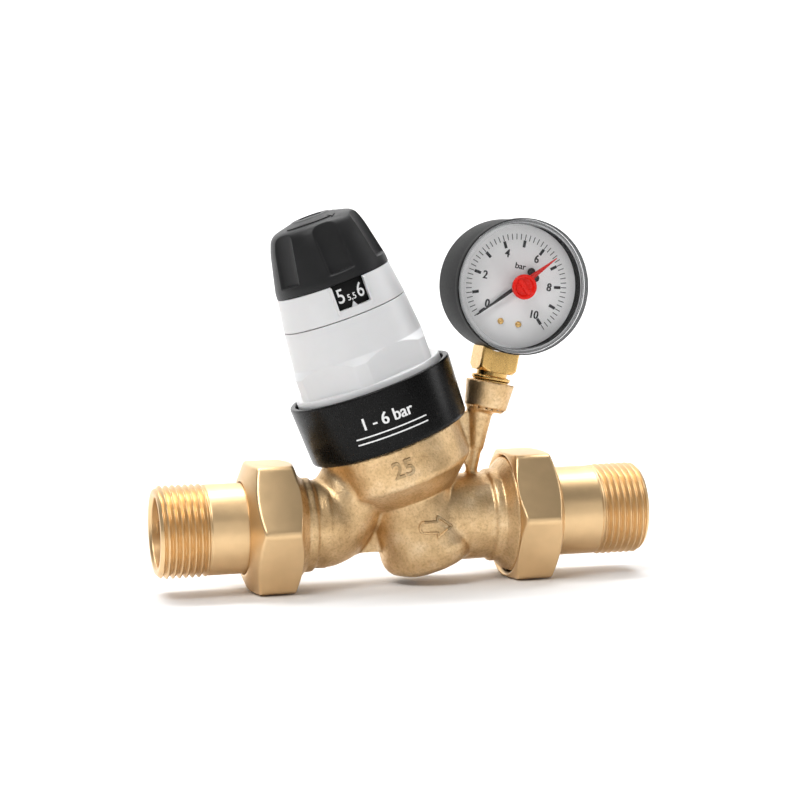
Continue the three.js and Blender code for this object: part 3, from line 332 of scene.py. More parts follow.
def finished(thing, body, slot, *nodes, look=None, crease=35):
    """Shades a piece, gives it its look, ties it to its body and hides the CAD nodes it stands for.
    """
    thing.data.shade_smooth()
    thing.data.set_sharp_from_angle(angle=radians(crease))
    thing.data.materials.clear()
    thing.data.materials.append(look or LOOKS[slot])
    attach(thing, body)
    if nodes:
        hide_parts(*nodes)
    return thing


def piece(name, shape, axes, *ties, **how):
    return finished(scratch(name, shape, axes), *ties, **how)


# ---- Materials

class Look:
    """A material being made: a Principled shader and the nodes that feed it."""

    def __init__(self, name, color, roughness, metallic=0.0, **constants):
        self.material = bpy.data.materials.new(name)
        self.material.use_nodes = True
        self.tree = self.material.node_tree
        self.shader = self.tree.nodes["Principled BSDF"]
        self.put(self.shader, "Base Color", (*color, 1))
        self.put(self.shader, "Roughness", roughness)
        self.put(self.shader, "Metallic", metallic)
        for socket, value in constants.items():
            self.put(self.shader, socket.replace("_", " "), value)
        self.place = self.tree.nodes.new("ShaderNodeTexCoord").outputs["Object"]

    def put(self, node, socket, value):
        target = node.inputs[socket]
        if isinstance(value, bpy.types.NodeSocket):
            self.tree.links.new(value, target)
        else:
            target.default_value = value

    def node(self, kind, output=0, settings=None, **sockets):
        node = self.tree.nodes.new("ShaderNode" + kind)
        for key, value in (settings or {}).items():
            setattr(node, key, value)
        for socket, value in sockets.items():
            self.put(node, socket.replace("_", " "), value)
        return node.outputs[output]

    def noise(self, size_mm, detail=2, roughness=0.5, place=None):
        """Fractal noise, from 0 to 1, whose coarsest lumps are about size_mm across."""
        return self.node("TexNoise", Vector=place or self.place, Scale=1 / (size_mm * MM),
                         Detail=detail, Roughness=roughness)

    def ramp(self, fac, *stops, color=False):
        node = self.tree.nodes.new("ShaderNodeValToRGB")
        self.tree.links.new(fac, node.inputs["Fac"])
        for i, (at, value) in enumerate(stops):
            element = node.color_ramp.elements[i] if i < 2 else node.color_ramp.elements.new(at)
            element.position = at
            element.color = (*value, 1) if color else (value, value, value, 1)
        return node.outputs["Color"]

    def span(self, value, low, high, start=0.0, end=1.0):
        return self.node("MapRange", Value=value, From_Min=start, From_Max=end,
                         To_Min=low, To_Max=high)

    def stretched(self, x, y, z):
        return self.node("Mapping", Vector=self.place, Scale=(x, y, z))

    def bump(self, height, distance_mm, strength=1.0):
        above = {"Normal": self.shader.inputs["Normal"].links[0].from_socket} \
            if self.shader.inputs["Normal"].links else {}
        normal = self.node("Bump", Height=height, Distance=distance_mm * MM,
                           Strength=strength, **above)
        self.put(self.shader, "Normal", normal)

    def tint(self, noise, dark, light):
        """Base colour from dark to light over the middle of a noise."""
        color = self.ramp(noise, (0.35, dark), (0.65, light), color=True)
        self.put(self.shader, "Base Color", color)

    def gloss(self, noise, low, high):
        """Roughness from low to high over the middle of a noise."""
        self.put(self.shader, "Roughness", self.span(noise, low, high, 0.3, 0.7))


# The factor below scales every tone of the colour; under 1 it darkens the brass as painted shade.
def cast_brass(name="cast_brass", painted_shade=1.0):
    look = Look(name, (0.8, 0.57, 0.3), 0.4, 1)
    patches = look.noise(9, 3)
    grains = look.noise(0.9, 3, 0.65)
    dark, middle, light = (0.6, 0.4, 0.2), (0.74, 0.52, 0.28), (0.84, 0.63, 0.38)
    tones = [tuple(c * painted_shade for c in tone) for tone in (dark, middle, light)]
    color = look.ramp(patches, (0.32, tones[0]), (0.52, tones[1]), (0.7, tones[2]), color=True)
    speckle = look.ramp(grains, (0.3, (0.62, 0.56, 0.52)), (0.55, (1, 1, 1)), color=True)
    mixed = look.node("Mix", 2, {"data_type": "RGBA", "blend_type": "MULTIPLY"}, Factor=0.55)
    node = mixed.node
    look.tree.links.new(color, node.inputs[6])
    look.tree.links.new(speckle, node.inputs[7])
    look.put(look.shader, "Base Color", mixed)
    look.gloss(grains, 0.5, 0.3)
    look.bump(look.noise(0.7, 3, 0.6), 0.16, 0.9)
    look.bump(look.noise(3.2, 2), 0.25, 0.5)
    return look.material


def machined_brass():
    """Satin brass, finely turned about the pipe line, which runs along X."""
    color, roughness = (0.75, 0.525, 0.285), 0.38
    look = Look("machined_brass", color, roughness, 1)
    look.tint(look.noise(7, 2), *[tuple(c * f for c in color) for f in (0.97, 1.03)])
    look.gloss(look.noise(3, 3), roughness - 0.01, roughness + 0.02)
    look.bump(look.noise(4, 3, 0.6, look.stretched(30, 1, 1)), 0.03, 0.35)
    return look.material


def bright_brass():
    look = Look("bright_brass", (0.68, 0.43, 0.15), 0.24, 1)
    look.gloss(look.noise(1.2, 3), 0.18, 0.34)
    look.bump(look.noise(0.35, 2, 0.6, look.stretched(1, 1, 5)), 0.02, 0.5)
    return look.material


def plastic(name, color, roughness, grain_mm, depth_mm, spread=0.05, **constants):
    """Moulded plastic with a fine spark-eroded grain."""
    look = Look(name, color, roughness, **constants)
    grain = look.noise(grain_mm, 3, 0.6)
    look.tint(look.noise(6, 3), *[tuple(c * f for c in color) for f in (1 - spread, 1 + spread)])
    look.gloss(grain, roughness - 0.06, roughness + 0.08)
    look.bump(grain, depth_mm, 0.7)
    return look.material


def clear_plastic(name, share, most, tint, roughness=0.04):
    """Clear plastic: see-through, with a share of gloss that grows to most at grazing angles."""
    look = Look(name, tint, roughness, Specular_IOR_Level=0.9)
    tree = look.tree
    see_through = tree.nodes.new("ShaderNodeBsdfTransparent")
    edge = tree.nodes.new("ShaderNodeFresnel")
    edge.inputs["IOR"].default_value = 1.45
    mix = tree.nodes.new("ShaderNodeMixShader")
    look.put(mix, "Fac", look.span(edge.outputs[0], share, most))
    tree.links.new(see_through.outputs[0], mix.inputs[1])
    tree.links.new(look.shader.outputs[0], mix.inputs[2])
    tree.links.new(mix.outputs[0], tree.nodes["Material Output"].inputs["Surface"])
    look.bump(look.noise(12, 1), 0.02, 0.3)
    return look.material


def steel():
    look = Look("steel", (0.6, 0.6, 0.61), 0.3, 1)
    look.gloss(look.noise(0.8, 3), 0.24, 0.4)
    look.bump(look.noise(0.3, 2), 0.02, 0.5)
    return look.material


LOOKS = {
    "cast_brass": cast_brass(),
    "machined_brass": machined_brass(),
    "bright_brass": bright_brass(),
    "white_plastic": plastic("white_plastic", (0.64, 0.64, 0.645), 0.36, 0.35, 0.008, 0.01,
                             Subsurface_Weight=0.06, Subsurface_Scale=0.002),
    "knob_plastic": plastic("knob_plastic", (0.009, 0.009, 0.0095), 0.42, 0.3, 0.05, 0.1,
                            Specular_IOR_Level=0.3),
    "black_plastic": plastic("black_plastic", (0.003, 0.003, 0.003), 0.27, 0.5, 0.006, 0.1,
                             Specular_IOR_Level=0.15),
    "drum_plastic": plastic("drum_plastic", (0.004, 0.004, 0.004), 0.5, 0.4, 0.01, 0.1,
                            Specular_IOR_Level=0.15),
    "rubber": plastic("rubber", (0.015, 0.015, 0.015), 0.7, 0.4, 0.02, 0.1),
    "gasket_fibre": plastic("gasket_fibre", (0.05, 0.045, 0.04), 0.8, 0.6, 0.05, 0.2),
    "steel": steel(),
    "dial_paint": plastic("dial_paint", (0.98, 0.98, 0.98), 0.5, 0.5, 0.004, 0.01),
    "pointer_paint": plastic("pointer_paint", (0.01, 0.01, 0.01), 0.45, 0.4, 0.004, 0.1),
    "red_plastic": plastic("red_plastic", (0.68, 0.012, 0.006), 0.25, 0.6, 0.004, 0.05,
                           Specular_IOR_Level=0.25),
    "window_plastic": clear_plastic("window_plastic", 0.0, 0.4, (0.9, 0.92, 0.93)),
}
# A darker copy of the cast brass for the raised marks: painted shade, standing in for the shadows
# round their edges.
MARKS_PAINTED_SHADE_BRASS = cast_brass("cast_brass_marks_painted_shade", 0.62)
LENS_RIM = clear_plastic("window_plastic_rim", 0.25, 0.8, (0.55, 0.56, 0.57), 0.1)
CASE_BLACK = plastic("case_black", (0.01, 0.01, 0.01), 0.42, 0.5, 0.006, 0.1,
                     Specular_IOR_Level=0.03)
BEZEL = plastic("bezel", (0.6, 0.61, 0.62), 0.2, 0.5, 0.002, 0.02)
PRINT_BLACK = plastic("print_black", (0.012, 0.012, 0.013), 0.5, 0.4, 0.002, 0.05)
PRINT_WHITE = plastic("print_white", (0.8, 0.8, 0.8), 0.5, 0.4, 0.002, 0.02)

for entry in frame["record"]["subparts"]:
    node = frame["nodes"][entry["node"]]
    node.data.materials.clear()
    node.data.materials.append(LOOKS[entry["material_slot"]])

# ---- Union nuts and tailpieces

def hexagon_radius(angle, across_flats, corner, first=90):
    """Distance from the axis to a hexagon with rounded corners, one of them at the angle first."""
    off = (degrees(angle) - first + 30) % 60 - 30
    off = radians(abs(off))
    centre = (across_flats / 2 - corner) / cos(radians(30))
    tangent = atan2(corner * 0.5, centre + corner * cos(radians(30)))
    if off < tangent:
        return centre * cos(off) + sqrt(corner ** 2 - (centre * sin(off)) ** 2)
    return across_flats / 2 / cos(radians(30) - off)


def union_nut(start, end):
    slope = tan(radians(NUT_CHAMFER))
    outer_face = NUT_HOLE_RADIUS + 0.9

    def profile(angle):
        reach = hexagon_radius(angle, NUT_ACROSS_FLATS, NUT_CORNER_RADIUS)
        return rounded([
            (NUT_THREAD_RADIUS, start + 1),
            (NUT_THREAD_RADIUS + 0.8, start, 0.2),
            (NUT_FACE_RADIUS, start, 0.4),
            (reach, start + (reach - NUT_FACE_RADIUS) * slope, 0.9),
            (reach, end - (reach - outer_face) * slope, 0.9),
            (outer_face, end, 0.4),
            (NUT_HOLE_RADIUS, end, 0.2),
            (NUT_HOLE_RADIUS, end - UNION_SHOULDER),
            (NUT_THREAD_RADIUS, end - UNION_SHOULDER),
        ])

    return revolve(profile, 288)


def tail_thread(height, angle, start):
    """Radius of the pipe thread: a right-hand helix with rounded crests, chamfered off at the end."""
    turn = (height - start) / THREAD_PITCH - angle / (2 * pi)
    wave = np.arcsin(CREST_SHARPNESS * np.cos(2 * pi * turn)) / asin(CREST_SHARPNESS)
    radius = THREAD_CREST - THREAD_DEPTH * (0.5 - 0.5 * wave)
    fade = np.clip((height - start) / (0.8 * THREAD_PITCH), 0, 1)
    radius = TAIL_BARREL_RADIUS + (radius - TAIL_BARREL_RADIUS) * fade * fade * (3 - 2 * fade)
    return np.minimum(radius, THREAD_CREST - THREAD_CHAMFER + (HALF_LENGTH - height) * 0.9)


def tailpiece(collar_end):
    start = HALF_LENGTH - THREAD_LENGTH
    heights = np.arange(start, HALF_LENGTH - 0.05, 0.13)
    shank = rounded([
        (BORE_RADIUS, collar_end - TAIL_COLLAR, 0.2),
        (TAIL_COLLAR_RADIUS, collar_end - TAIL_COLLAR, 0.3),
        (TAIL_COLLAR_RADIUS, collar_end, 0.3),
        (TAIL_BARREL_RADIUS, collar_end, 0.1),
        (TAIL_BARREL_RADIUS, start - 0.2),
    ], closed=False)
    mouth = rounded([
        (THREAD_CREST - THREAD_CHAMFER, HALF_LENGTH),
        (BORE_RADIUS + MOUTH_CHAMFER, HALF_LENGTH, 0.15),
        (BORE_RADIUS, HALF_LENGTH - MOUTH_CHAMFER, 0.3),
        (BORE_RADIUS, HALF_LENGTH - 20),
    ], closed=False)

    def profile(angle):
        thread = np.column_stack([tail_thread(heights, angle, start), heights])
        return np.concatenate([shank, thread, mouth])

    barrel = revolve(profile, 160)
    lug_end = HALF_LENGTH - LUG_SETBACK
    lugs = []
    for side in (-1, 1):
        low, high = sorted((side * (BORE_RADIUS - LUG_HEIGHT), side * (BORE_RADIUS + 0.4)))
        lugs.append(box(-LUG_WIDTH / 2, LUG_WIDTH / 2, low, high, lug_end - LUG_LENGTH, lug_end))
    return joined(barrel, *lugs)


def union_end(side, axes, body):
    low, high = extent(side + "_union_nut")
    start = min(abs(low.x), abs(high.x))
    end = max(abs(low.x), abs(high.x))
    piece(side + "_nut_fine", union_nut(start, end), axes, body, "machined_brass",
          side + "_union_nut")
    piece(side + "_tail_fine", tailpiece(end - UNION_SHOULDER - GAP), axes, "body",
          "machined_brass", side + "_tailpiece", crease=60)


union_end("inlet", INLET, "inlet_nut")
union_end("outlet", OUTLET, "outlet_nut")

# ---- Body casting: a field of distances, blended where lumps meet, then meshed

STEP = 0.5
CELL_CORNERS = [(i, j, k) for i in (0, 1) for j in (0, 1) for k in (0, 1)]
CORE = -10  # an outline reaches past the axis, so that the field has no seam there
PORT_RADIUS = 15.7
OUTLET_PORT_FOOT = 6.6
RISER_X, RISER_INSET = -25, 6
SLEEVE_ROOM_RADIUS, BONNET_ROOM_RADIUS, POST_ROOM_RADIUS = 13.7, 22.75, 6.9
INLET_BODY_END, OUTLET_BODY_END = 50, 47.7
UNION_THREAD_RADIUS = 20.95
BULB_X = -29.5
CHAMBER_RADIUS = 21.5


class Field:
    """Signed distances to solids, negative inside, on a grid of points."""

    def __init__(self, low, high, step):
        self.low, self.step = np.array(low, np.float32), step
        axes = [np.arange(a, b, step, dtype=np.float32) for a, b in zip(low, high)]
        self.x, self.y, self.z = np.meshgrid(*axes, indexing="ij")

    def local(self, matrix):
        inverse = np.array(matrix.inverted(), np.float32)
        return [
            inverse[i, 0] * self.x + inverse[i, 1] * self.y + inverse[i, 2] * self.z + inverse[i, 3]
            for i in range(3)
        ]

    def turned(self, matrix, corners):
        x, y, z = self.local(matrix)
        return outline_distance(np.hypot(x, y), z, corners)

    def bar(self, start, end, start_radius, end_radius):
        start, end = np.array(start, float), np.array(end, float)
        run = end - start
        length = float(run @ run)
        t = ((self.x - start[0]) * run[0] + self.y * run[1] + (self.z - start[2]) * run[2]) / length
        t = np.clip(t, 0, 1)
        away_x = self.x - start[0] - run[0] * t
        away_z = self.z - start[2] - run[2] * t
        away = np.sqrt(away_x ** 2 + self.y ** 2 + away_z ** 2)
        return away - (start_radius + (end_radius - start_radius) * t)

    def web(self, corners, thickness):
        flat = outline_distance(self.x, self.z, corners)
        return np.maximum(flat, np.abs(self.y) - thickness / 2)

    def ball(self, centre, radius):
        return self.bar(centre, np.array(centre) + (1e-3, 0, 0), radius, radius)


def outline_distance(r, h, corners):
    """Signed distance from points (r, h) to a closed outline."""
    nearest = np.full(r.shape, 1e9, np.float32)
    inside = np.zeros(r.shape, bool)
    for (r0, h0), (r1, h1) in zip(corners, [*corners[1:], corners[0]]):
        run, rise = r1 - r0, h1 - h0
        t = np.clip(((r - r0) * run + (h - h0) * rise) / (run * run + rise * rise), 0, 1)
        nearest = np.minimum(nearest, (r - r0 - run * t) ** 2 + (h - h0 - rise * t) ** 2)
        if rise:
            inside ^= ((h0 <= h) != (h1 <= h)) & (r < r0 + (h - h0) * (run / rise))
    return np.where(inside, -1, 1) * np.sqrt(nearest)


def blend(a, b, fillet):
    """The union of two fields, with a fillet where they meet."""
    near = np.maximum(fillet - np.abs(a - b), 0) / fillet
    return np.minimum(a, b) - near * near * fillet / 4


def surface(values, low, step):
    """Quads over the zero level of a sampled field, one point in each cell that it crosses."""
    inside = values < 0
    nx, ny, nz = (n - 1 for n in values.shape)
    count = sum(inside[i:i + nx, j:j + ny, k:k + nz].astype(np.int8) for i, j, k in CELL_CORNERS)
    cells = np.argwhere((count > 0) & (count < 8))
    number = np.full((nx, ny, nz), -1, np.int64)
    number[tuple(cells.T)] = np.arange(len(cells))
    total = np.zeros((len(cells), 3))
    hits = np.zeros(len(cells))
    for a in CELL_CORNERS:
        for axis in range(3):
            if a[axis]:
                continue
            b = list(a)
            b[axis] = 1
            va = values[tuple((cells + a).T)]
            vb = values[tuple((cells + b).T)]
            crossed = (va < 0) != (vb < 0)
            t = np.where(crossed, va / np.where(crossed, va - vb, 1), 0)
            spot = np.array(a, float)[None, :].repeat(len(cells), 0)
            spot[:, axis] += t
            total += spot * crossed[:, None]
            hits += crossed
    points = (cells + total / hits[:, None]) * step + low
    faces = []
    for axis in range(3):
        u, v = (axis + 1) % 3, (axis + 2) % 3
        here = inside[tuple(slice(0, -1) if n == axis else slice(1, -1) for n in range(3))]
        there = inside[tuple(slice(1, None) if n == axis else slice(1, -1) for n in range(3))]
        spots = np.argwhere(here != there)
        flip = here[tuple(spots.T)]
        spots = spots + [0 if n == axis else 1 for n in range(3)]
        ring = []
        for du, dv in ((-1, -1), (0, -1), (0, 0), (-1, 0)):
            cell = spots.copy()
            cell[:, u] += du
            cell[:, v] += dv
            ring.append(number[tuple(cell.T)])
        quads = np.stack(ring, 1)
        quads[~flip] = quads[~flip][:, ::-1]
        faces.append(quads)
    return points, np.concatenate(faces)


def waviness(field, size, seed):
    """Smooth random waves between -1 and 1, about size across, the same on every run."""
    values = np.random.default_rng(seed).uniform(-1, 1, (24, 16, 20)).astype(np.float32)
    spots = [(axis - low) / size for axis, low in zip((field.x, field.y, field.z), field.low)]
    whole = [np.floor(s).astype(int) for s in spots]
    part = [s - w for s, w in zip(spots, whole)]
    part = [p * p * (3 - 2 * p) for p in part]
    total = 0
    for corner in CELL_CORNERS:
        index = tuple((w + c) % n for w, c, n in zip(whole, corner, values.shape))
        weight = 1
        for p, c in zip(part, corner):
            weight = weight * (p if c else 1 - p)
        total = total + values[index] * weight
    return total


def arc(r, h, radius, start, end, steps):
    angles = [radians(start + (end - start) * i / steps) for i in range(steps + 1)]
    return [(r + radius * cos(a), h + radius * sin(a)) for a in angles]


def at(matrix, x, z):
    return matrix @ Vector((x, 0, z))


def port_outline(inner, nut_start, body_end):
    return [
        (CORE, inner), (PORT_RADIUS, inner), (PORT_RADIUS, nut_start - 7.4),
        (PORT_RADIUS + 1.2, nut_start - 6.2), (PORT_RADIUS + 1.3, nut_start - 3.4),
        (UNION_THREAD_RADIUS, nut_start + 0.2), (UNION_THREAD_RADIUS, body_end), (CORE, body_end),
    ]


def casting():
    field = Field((-51, -27, PIPE_Z - 20), (49.5, 27, PIPE_Z + 54), STEP)
    inlet_start = abs(extent("inlet_union_nut")[1].x)
    outlet_start = extent("outlet_union_nut")[0].x
    bowl = field.turned(CARTRIDGE, [
        (CORE, BOWL_BOTTOM), *arc(BOWL_RADIUS - 8, BOWL_BOTTOM + 8, 8, -90, 0, 6),
        (BOWL_RADIUS - 1.4, BOWL_TOP), *arc(BAND_RADIUS - 3, BAND_BOTTOM + 1, 3, -40, 0, 4),
        (BAND_RADIUS, BAND_TOP), (NECK_RADIUS, BAND_TOP), (NECK_RADIUS, BODY_TOP), (CORE, BODY_TOP),
    ])
    outlet = field.turned(OUTLET, port_outline(OUTLET_PORT_FOOT, outlet_start, OUTLET_BODY_END))
    inlet = field.turned(INLET, port_outline(-BULB_X, inlet_start, INLET_BODY_END))
    bulb = field.ball((BULB_X, 0, PIPE_Z), PORT_RADIUS)
    riser_foot = (RISER_X, 0, PIPE_Z)
    riser_top = at(CARTRIDGE, -CHAMBER_RADIUS + RISER_INSET, BAND_BOTTOM + 4)
    riser = field.bar(riser_foot, riser_top, PORT_RADIUS - 2, PORT_RADIUS - 2)
    rib = field.web([(x, PIPE_Z + z) for x, z in ((-22, -11), (-6, -11), (-6, 8), (-22, 8))], 5)
    boss = field.turned(GAUGE, [
        (CORE, BOSS_FOOT), (BOSS_RADIUS - 2.8, BOSS_FOOT), (BOSS_RADIUS - 1.2, BOSS_FOOT + 1.6),
        (BOSS_RADIUS, BOSS_TOP), (CORE, BOSS_TOP),
    ])
    waist = at(GAUGE, -0.7, BOSS_FOOT - 12.6)
    column_top = at(GAUGE, -1.8, BOSS_FOOT + 1)
    column_foot = at(GAUGE, -0.7, BOSS_FOOT - 24)
    cone = field.bar(waist, column_top, 2.8, 4.8)
    pin = field.bar(column_foot, waist, 2.1, 2.1)
    top = at(CARTRIDGE, BAND_RADIUS - 1, BAND_TOP - 1)
    foot = at(CARTRIDGE, BAND_RADIUS - 1, BAND_BOTTOM + 2)
    upper = at(GAUGE, -1.8, BOSS_FOOT + 2)
    low = at(CARTRIDGE, BAND_RADIUS - 3, BAND_BOTTOM - 3)
    web = field.web([(p.x, p.z) for p in (column_foot, waist, upper, top, foot, low)], 2.4)

    column = blend(blend(blend(boss, cone, 1.5), pin, 0.8), web, 0.8)
    body = inlet
    for lump, fillet in ((bulb, 1), (riser, 1.2), (rib, 1.5), (bowl, 1.6), (outlet, 0.7),
                         (column, 1.2)):
        body = blend(body, lump, fillet)
    body = body + 0.1 * waviness(field, 7, 5) + 0.04 * waviness(field, 2.2, 6)

    band_seat = field.turned(CARTRIDGE, [
        (NECK_RADIUS, BAND_TOP), (FAR, BAND_TOP), (FAR, BODY_TOP + 9), (NECK_RADIUS, BODY_TOP + 9)])
    ring_edge, ring_end = RING_RIM_RADIUS + 0.6, RING_TOP + 1
    ring_room = np.maximum(band_seat, field.turned(CARTRIDGE, [
        (CORE, BAND_TOP), (ring_edge, BAND_TOP), (ring_edge, ring_end), (CORE, ring_end)]))
    body = np.maximum(body, -ring_room)

    spring_room = SPRING_CHAMBER_RADIUS + GAP
    chamber = field.turned(CARTRIDGE, [
        (CORE, BOWL_BOTTOM + 3.2), *arc(8.8, BOWL_BOTTOM + 9.2, 6, -90, 0, 4),
        (SLEEVE_ROOM_RADIUS, BOWL_TOP), (SLEEVE_ROOM_RADIUS, BOWL_TOP + 5), (17, BOWL_TOP + 5),
        (CHAMBER_RADIUS, BAND_BOTTOM + 2.5), (CHAMBER_RADIUS, DIAPHRAGM_LEDGE - 8),
        (spring_room, DIAPHRAGM_LEDGE - 6.2), (spring_room, DIAPHRAGM_LEDGE),
        (BONNET_ROOM_RADIUS, DIAPHRAGM_LEDGE), (BONNET_ROOM_RADIUS, BODY_TOP + 4),
        (CORE, BODY_TOP + 4),
    ])
    def bore(axes, low, high, radius):
        return field.turned(axes, [(CORE, low), (radius, low), (radius, high), (CORE, high)])

    rooms = [
        bore(INLET, -BULB_X, FAR, BORE_RADIUS),
        field.ball((BULB_X, 0, PIPE_Z), BORE_RADIUS),
        field.bar(riser_foot, at(CARTRIDGE, -CHAMBER_RADIUS + RISER_INSET, BAND_BOTTOM + 6), 8, 8),
        bore(OUTLET, OUTLET_PORT_FOOT, FAR, BORE_RADIUS),
        bore(GAUGE, BOSS_FOOT + 1, BOSS_TOP + 3, POST_ROOM_RADIUS),
    ]
    hollow = chamber
    for room in rooms:
        hollow = np.minimum(hollow, room)
    body = np.maximum(body, -hollow)
    return surface(body, field.low, STEP)


body_points, body_faces = casting()
casting_shape = (body_points, [tuple(face) for face in body_faces.tolist()])


class Front:
    """The casting's outside, to lay raised marks on: finds the surface along a direction."""

    def __init__(self, points, faces):
        self.tree = BVHTree.FromPolygons([tuple(p) for p in points.tolist()], faces)

    def lay(self, points, matrix):
        """Drops (x, up, height) points along +Y of a local frame, to stand height off the casting."""
        direction = (matrix.to_3x3() @ Vector((0, 1, 0))).normalized()
        laid = []
        for x, up, height in points:
            start = matrix @ Vector((x, -FAR, up))
            hit = self.tree.ray_cast(start, direction)[0]
            laid.append(tuple(hit - direction * height))
        return np.array(laid)


def bead(path, radius, sides=8):
    """A round bead along a closed path of points that faces -Y."""
    count = len(path)
    points, faces = [], []
    for i, here in enumerate(path):
        ahead = path[(i + 1) % count] - path[i - 1]
        ahead = ahead / np.hypot(*ahead[[0, 2]])
        across = np.array([-ahead[2], 0, ahead[0]])
        for k in range(sides):
            angle = 2 * pi * k / sides
            around = across * cos(angle) + np.array([0, sin(angle), 0])
            points.append(here + radius * around)
    for i in range(count):
        j = (i + 1) % count
        for k in range(sides):
            m = (k + 1) % sides
            faces.append((i * sides + k, j * sides + k, j * sides + m, i * sides + m))
    return np.array(points), faces


def heavier(shape, spread):
    """The same letters, laid over themselves a little to each side."""
    points, faces = shape
    return joined(*[(points + (aside, 0, 0.003 * i), faces)
                    for i, aside in enumerate((-spread, 0, spread))])


def text_shape(words, size, thickness, narrow=1.0, bold=0.0):
    """Solid letters, centred on the origin in the X-Y plane, as (points, faces)."""
    curve = bpy.data.curves.new("words", "FONT")
    curve.body = words
    curve.size = size
    curve.extrude = thickness / 2
    curve.offset = bold
    curve.align_x = "CENTER"
    curve.align_y = "CENTER"
    holder = placed("words", curve)
    graph = bpy.context.evaluated_depsgraph_get()
    mesh = bpy.data.meshes.new_from_object(holder.evaluated_get(graph))
    work = bmesh.new()
    work.from_mesh(mesh)
    bmesh.ops.remove_doubles(work, verts=work.verts, dist=1e-4)
    bmesh.ops.triangulate(work, faces=work.faces)
    points = np.array([tuple(v.co) for v in work.verts])
    faces = [tuple(v.index for v in face.verts) for face in work.faces]
    work.free()
    bpy.data.objects.remove(holder)
    points[:, 0] = (points[:, 0] - (points[:, 0].min() + points[:, 0].max()) / 2) * narrow
    points[:, 1] -= (points[:, 1].min() + points[:, 1].max()) / 2
    return points, faces


front = Front(body_points, casting_shape[1])


def flow_arrow():
    """The raised outline of a broad arrow on the bowl, pointing downstream."""
    outline = []
    tail, neck, tip, half, head = -5.2, 0.9, 6.4, 2.0, 3.9
    for i in range(13):
        angle = radians(90 + 180 * i / 12)
        outline.append((tail + 1.2 + half * 0.8 * cos(angle), half * sin(angle)))
    outline += [(neck, -half), (neck, -head), (tip, 0), (neck, head), (neck, half)]
    dense = []
    for (x0, y0), (x1, y1) in zip(outline, outline[1:] + outline[:1]):
        steps = max(1, round(hypot(x1 - x0, y1 - y0) / 0.5))
        dense += [(x0 + (x1 - x0) * k / steps, y0 + (y1 - y0) * k / steps) for k in range(steps)]
    centre_x, centre_z = ARROW_AT
    spots = [(centre_x + x, PIPE_Z + centre_z + y, 0.2) for x, y in dense]
    return bead(front.lay(spots, Matrix.Identity(4)), 0.5)


def size_mark():
    """The nominal size, raised on the band under the ring."""
    points, faces = text_shape("25", 8.4, 1.6, bold=0.12)
    around, up = SIZE_MARK_AT
    frame_there = CARTRIDGE @ spin(around)
    spots = [(x, up + y, 0.05 + z) for x, y, z in points]
    return front.lay(spots, frame_there), faces


body_shape = joined(casting_shape, flow_arrow(), size_mark())
valve_casting = piece("valve_casting", body_shape, Matrix.Identity(4), "body", "cast_brass",
                      "valve_body", crease=50)
# The arrow and the size figures take the darker brass: painted shade.
valve_casting.data.materials.append(MARKS_PAINTED_SHADE_BRASS)
for face in valve_casting.data.polygons[len(casting_shape[1]):]:
    face.material_index = 1

# ---- Identification ring, bonnet and window collar


def identification_ring():
    foot = BAND_TOP + GAP
    inner = NECK_RADIUS + GAP
    return turned([
        (inner, foot, 0.2), (RING_FOOT_RADIUS, foot, 2.6), (RING_RIM_RADIUS, RING_TOP, 0.9),
        (RING_RIM_RADIUS - 2.1, RING_TOP, 0.8), (RING_RIM_RADIUS - 2.4, RING_TOP - 4),
        (RING_FOOT_RADIUS - 1.9, foot + 2.4, 0.4), (inner, foot + 2.4),
    ], 192, steps=6)


def ring_radius(height):
    share = (height - BAND_TOP) / (RING_TOP - BAND_TOP)
    return RING_FOOT_RADIUS + (RING_RIM_RADIUS - RING_FOOT_RADIUS) * share


def on_ring(shape, around, height):
    """Bends a flat shape round the ring's cone: X runs along the circumference, Y up the axis."""
    points = shape[0]
    up = points[:, 1] + height
    reach = ring_radius(up) + points[:, 2] + 0.03
    turn = radians(around) + points[:, 0] / reach
    return np.column_stack([reach * np.sin(turn), -reach * np.cos(turn), up]), shape[1]


def rule(length, width, steps=24):
    """A thin printed line, in short steps so that it can be bent."""
    ends = [length * (i / steps - 0.5) for i in range(steps + 1)]
    return joined(*[box(start, end, -width / 2, width / 2, -INK / 2, INK / 2)
                    for start, end in zip(ends, ends[1:])])


def ring_print():
    """Generic print: the setting range over two plain rules."""
    words = heavier(text_shape("1 - 6 bar", 6.2, INK, 0.9, 0.03), 0.12)
    line = rule(27, 0.5)
    rows = ((words, 44), (line, 39.3), (line, 37.3))
    return joined(*[on_ring(shape, RING_PRINT_AT, height) for shape, height in rows])


piece("ring_shell", identification_ring(), CARTRIDGE, "body", "black_plastic",
      "identification_ring")
piece("ring_print", ring_print(), CARTRIDGE, "body", "white_plastic", look=PRINT_WHITE)


def cone_radius(height):
    """Radius of the bonnet and the collar above the hexagon."""
    if height < SEAM:
        return CONE_RADIUS + (SEAM_RADIUS - CONE_RADIUS) * (height - HEX_TOP) / (SEAM - HEX_TOP)
    return SEAM_RADIUS + (COLLAR_TOP_RADIUS - SEAM_RADIUS) * (height - SEAM) / (COLLAR_TOP - SEAM)


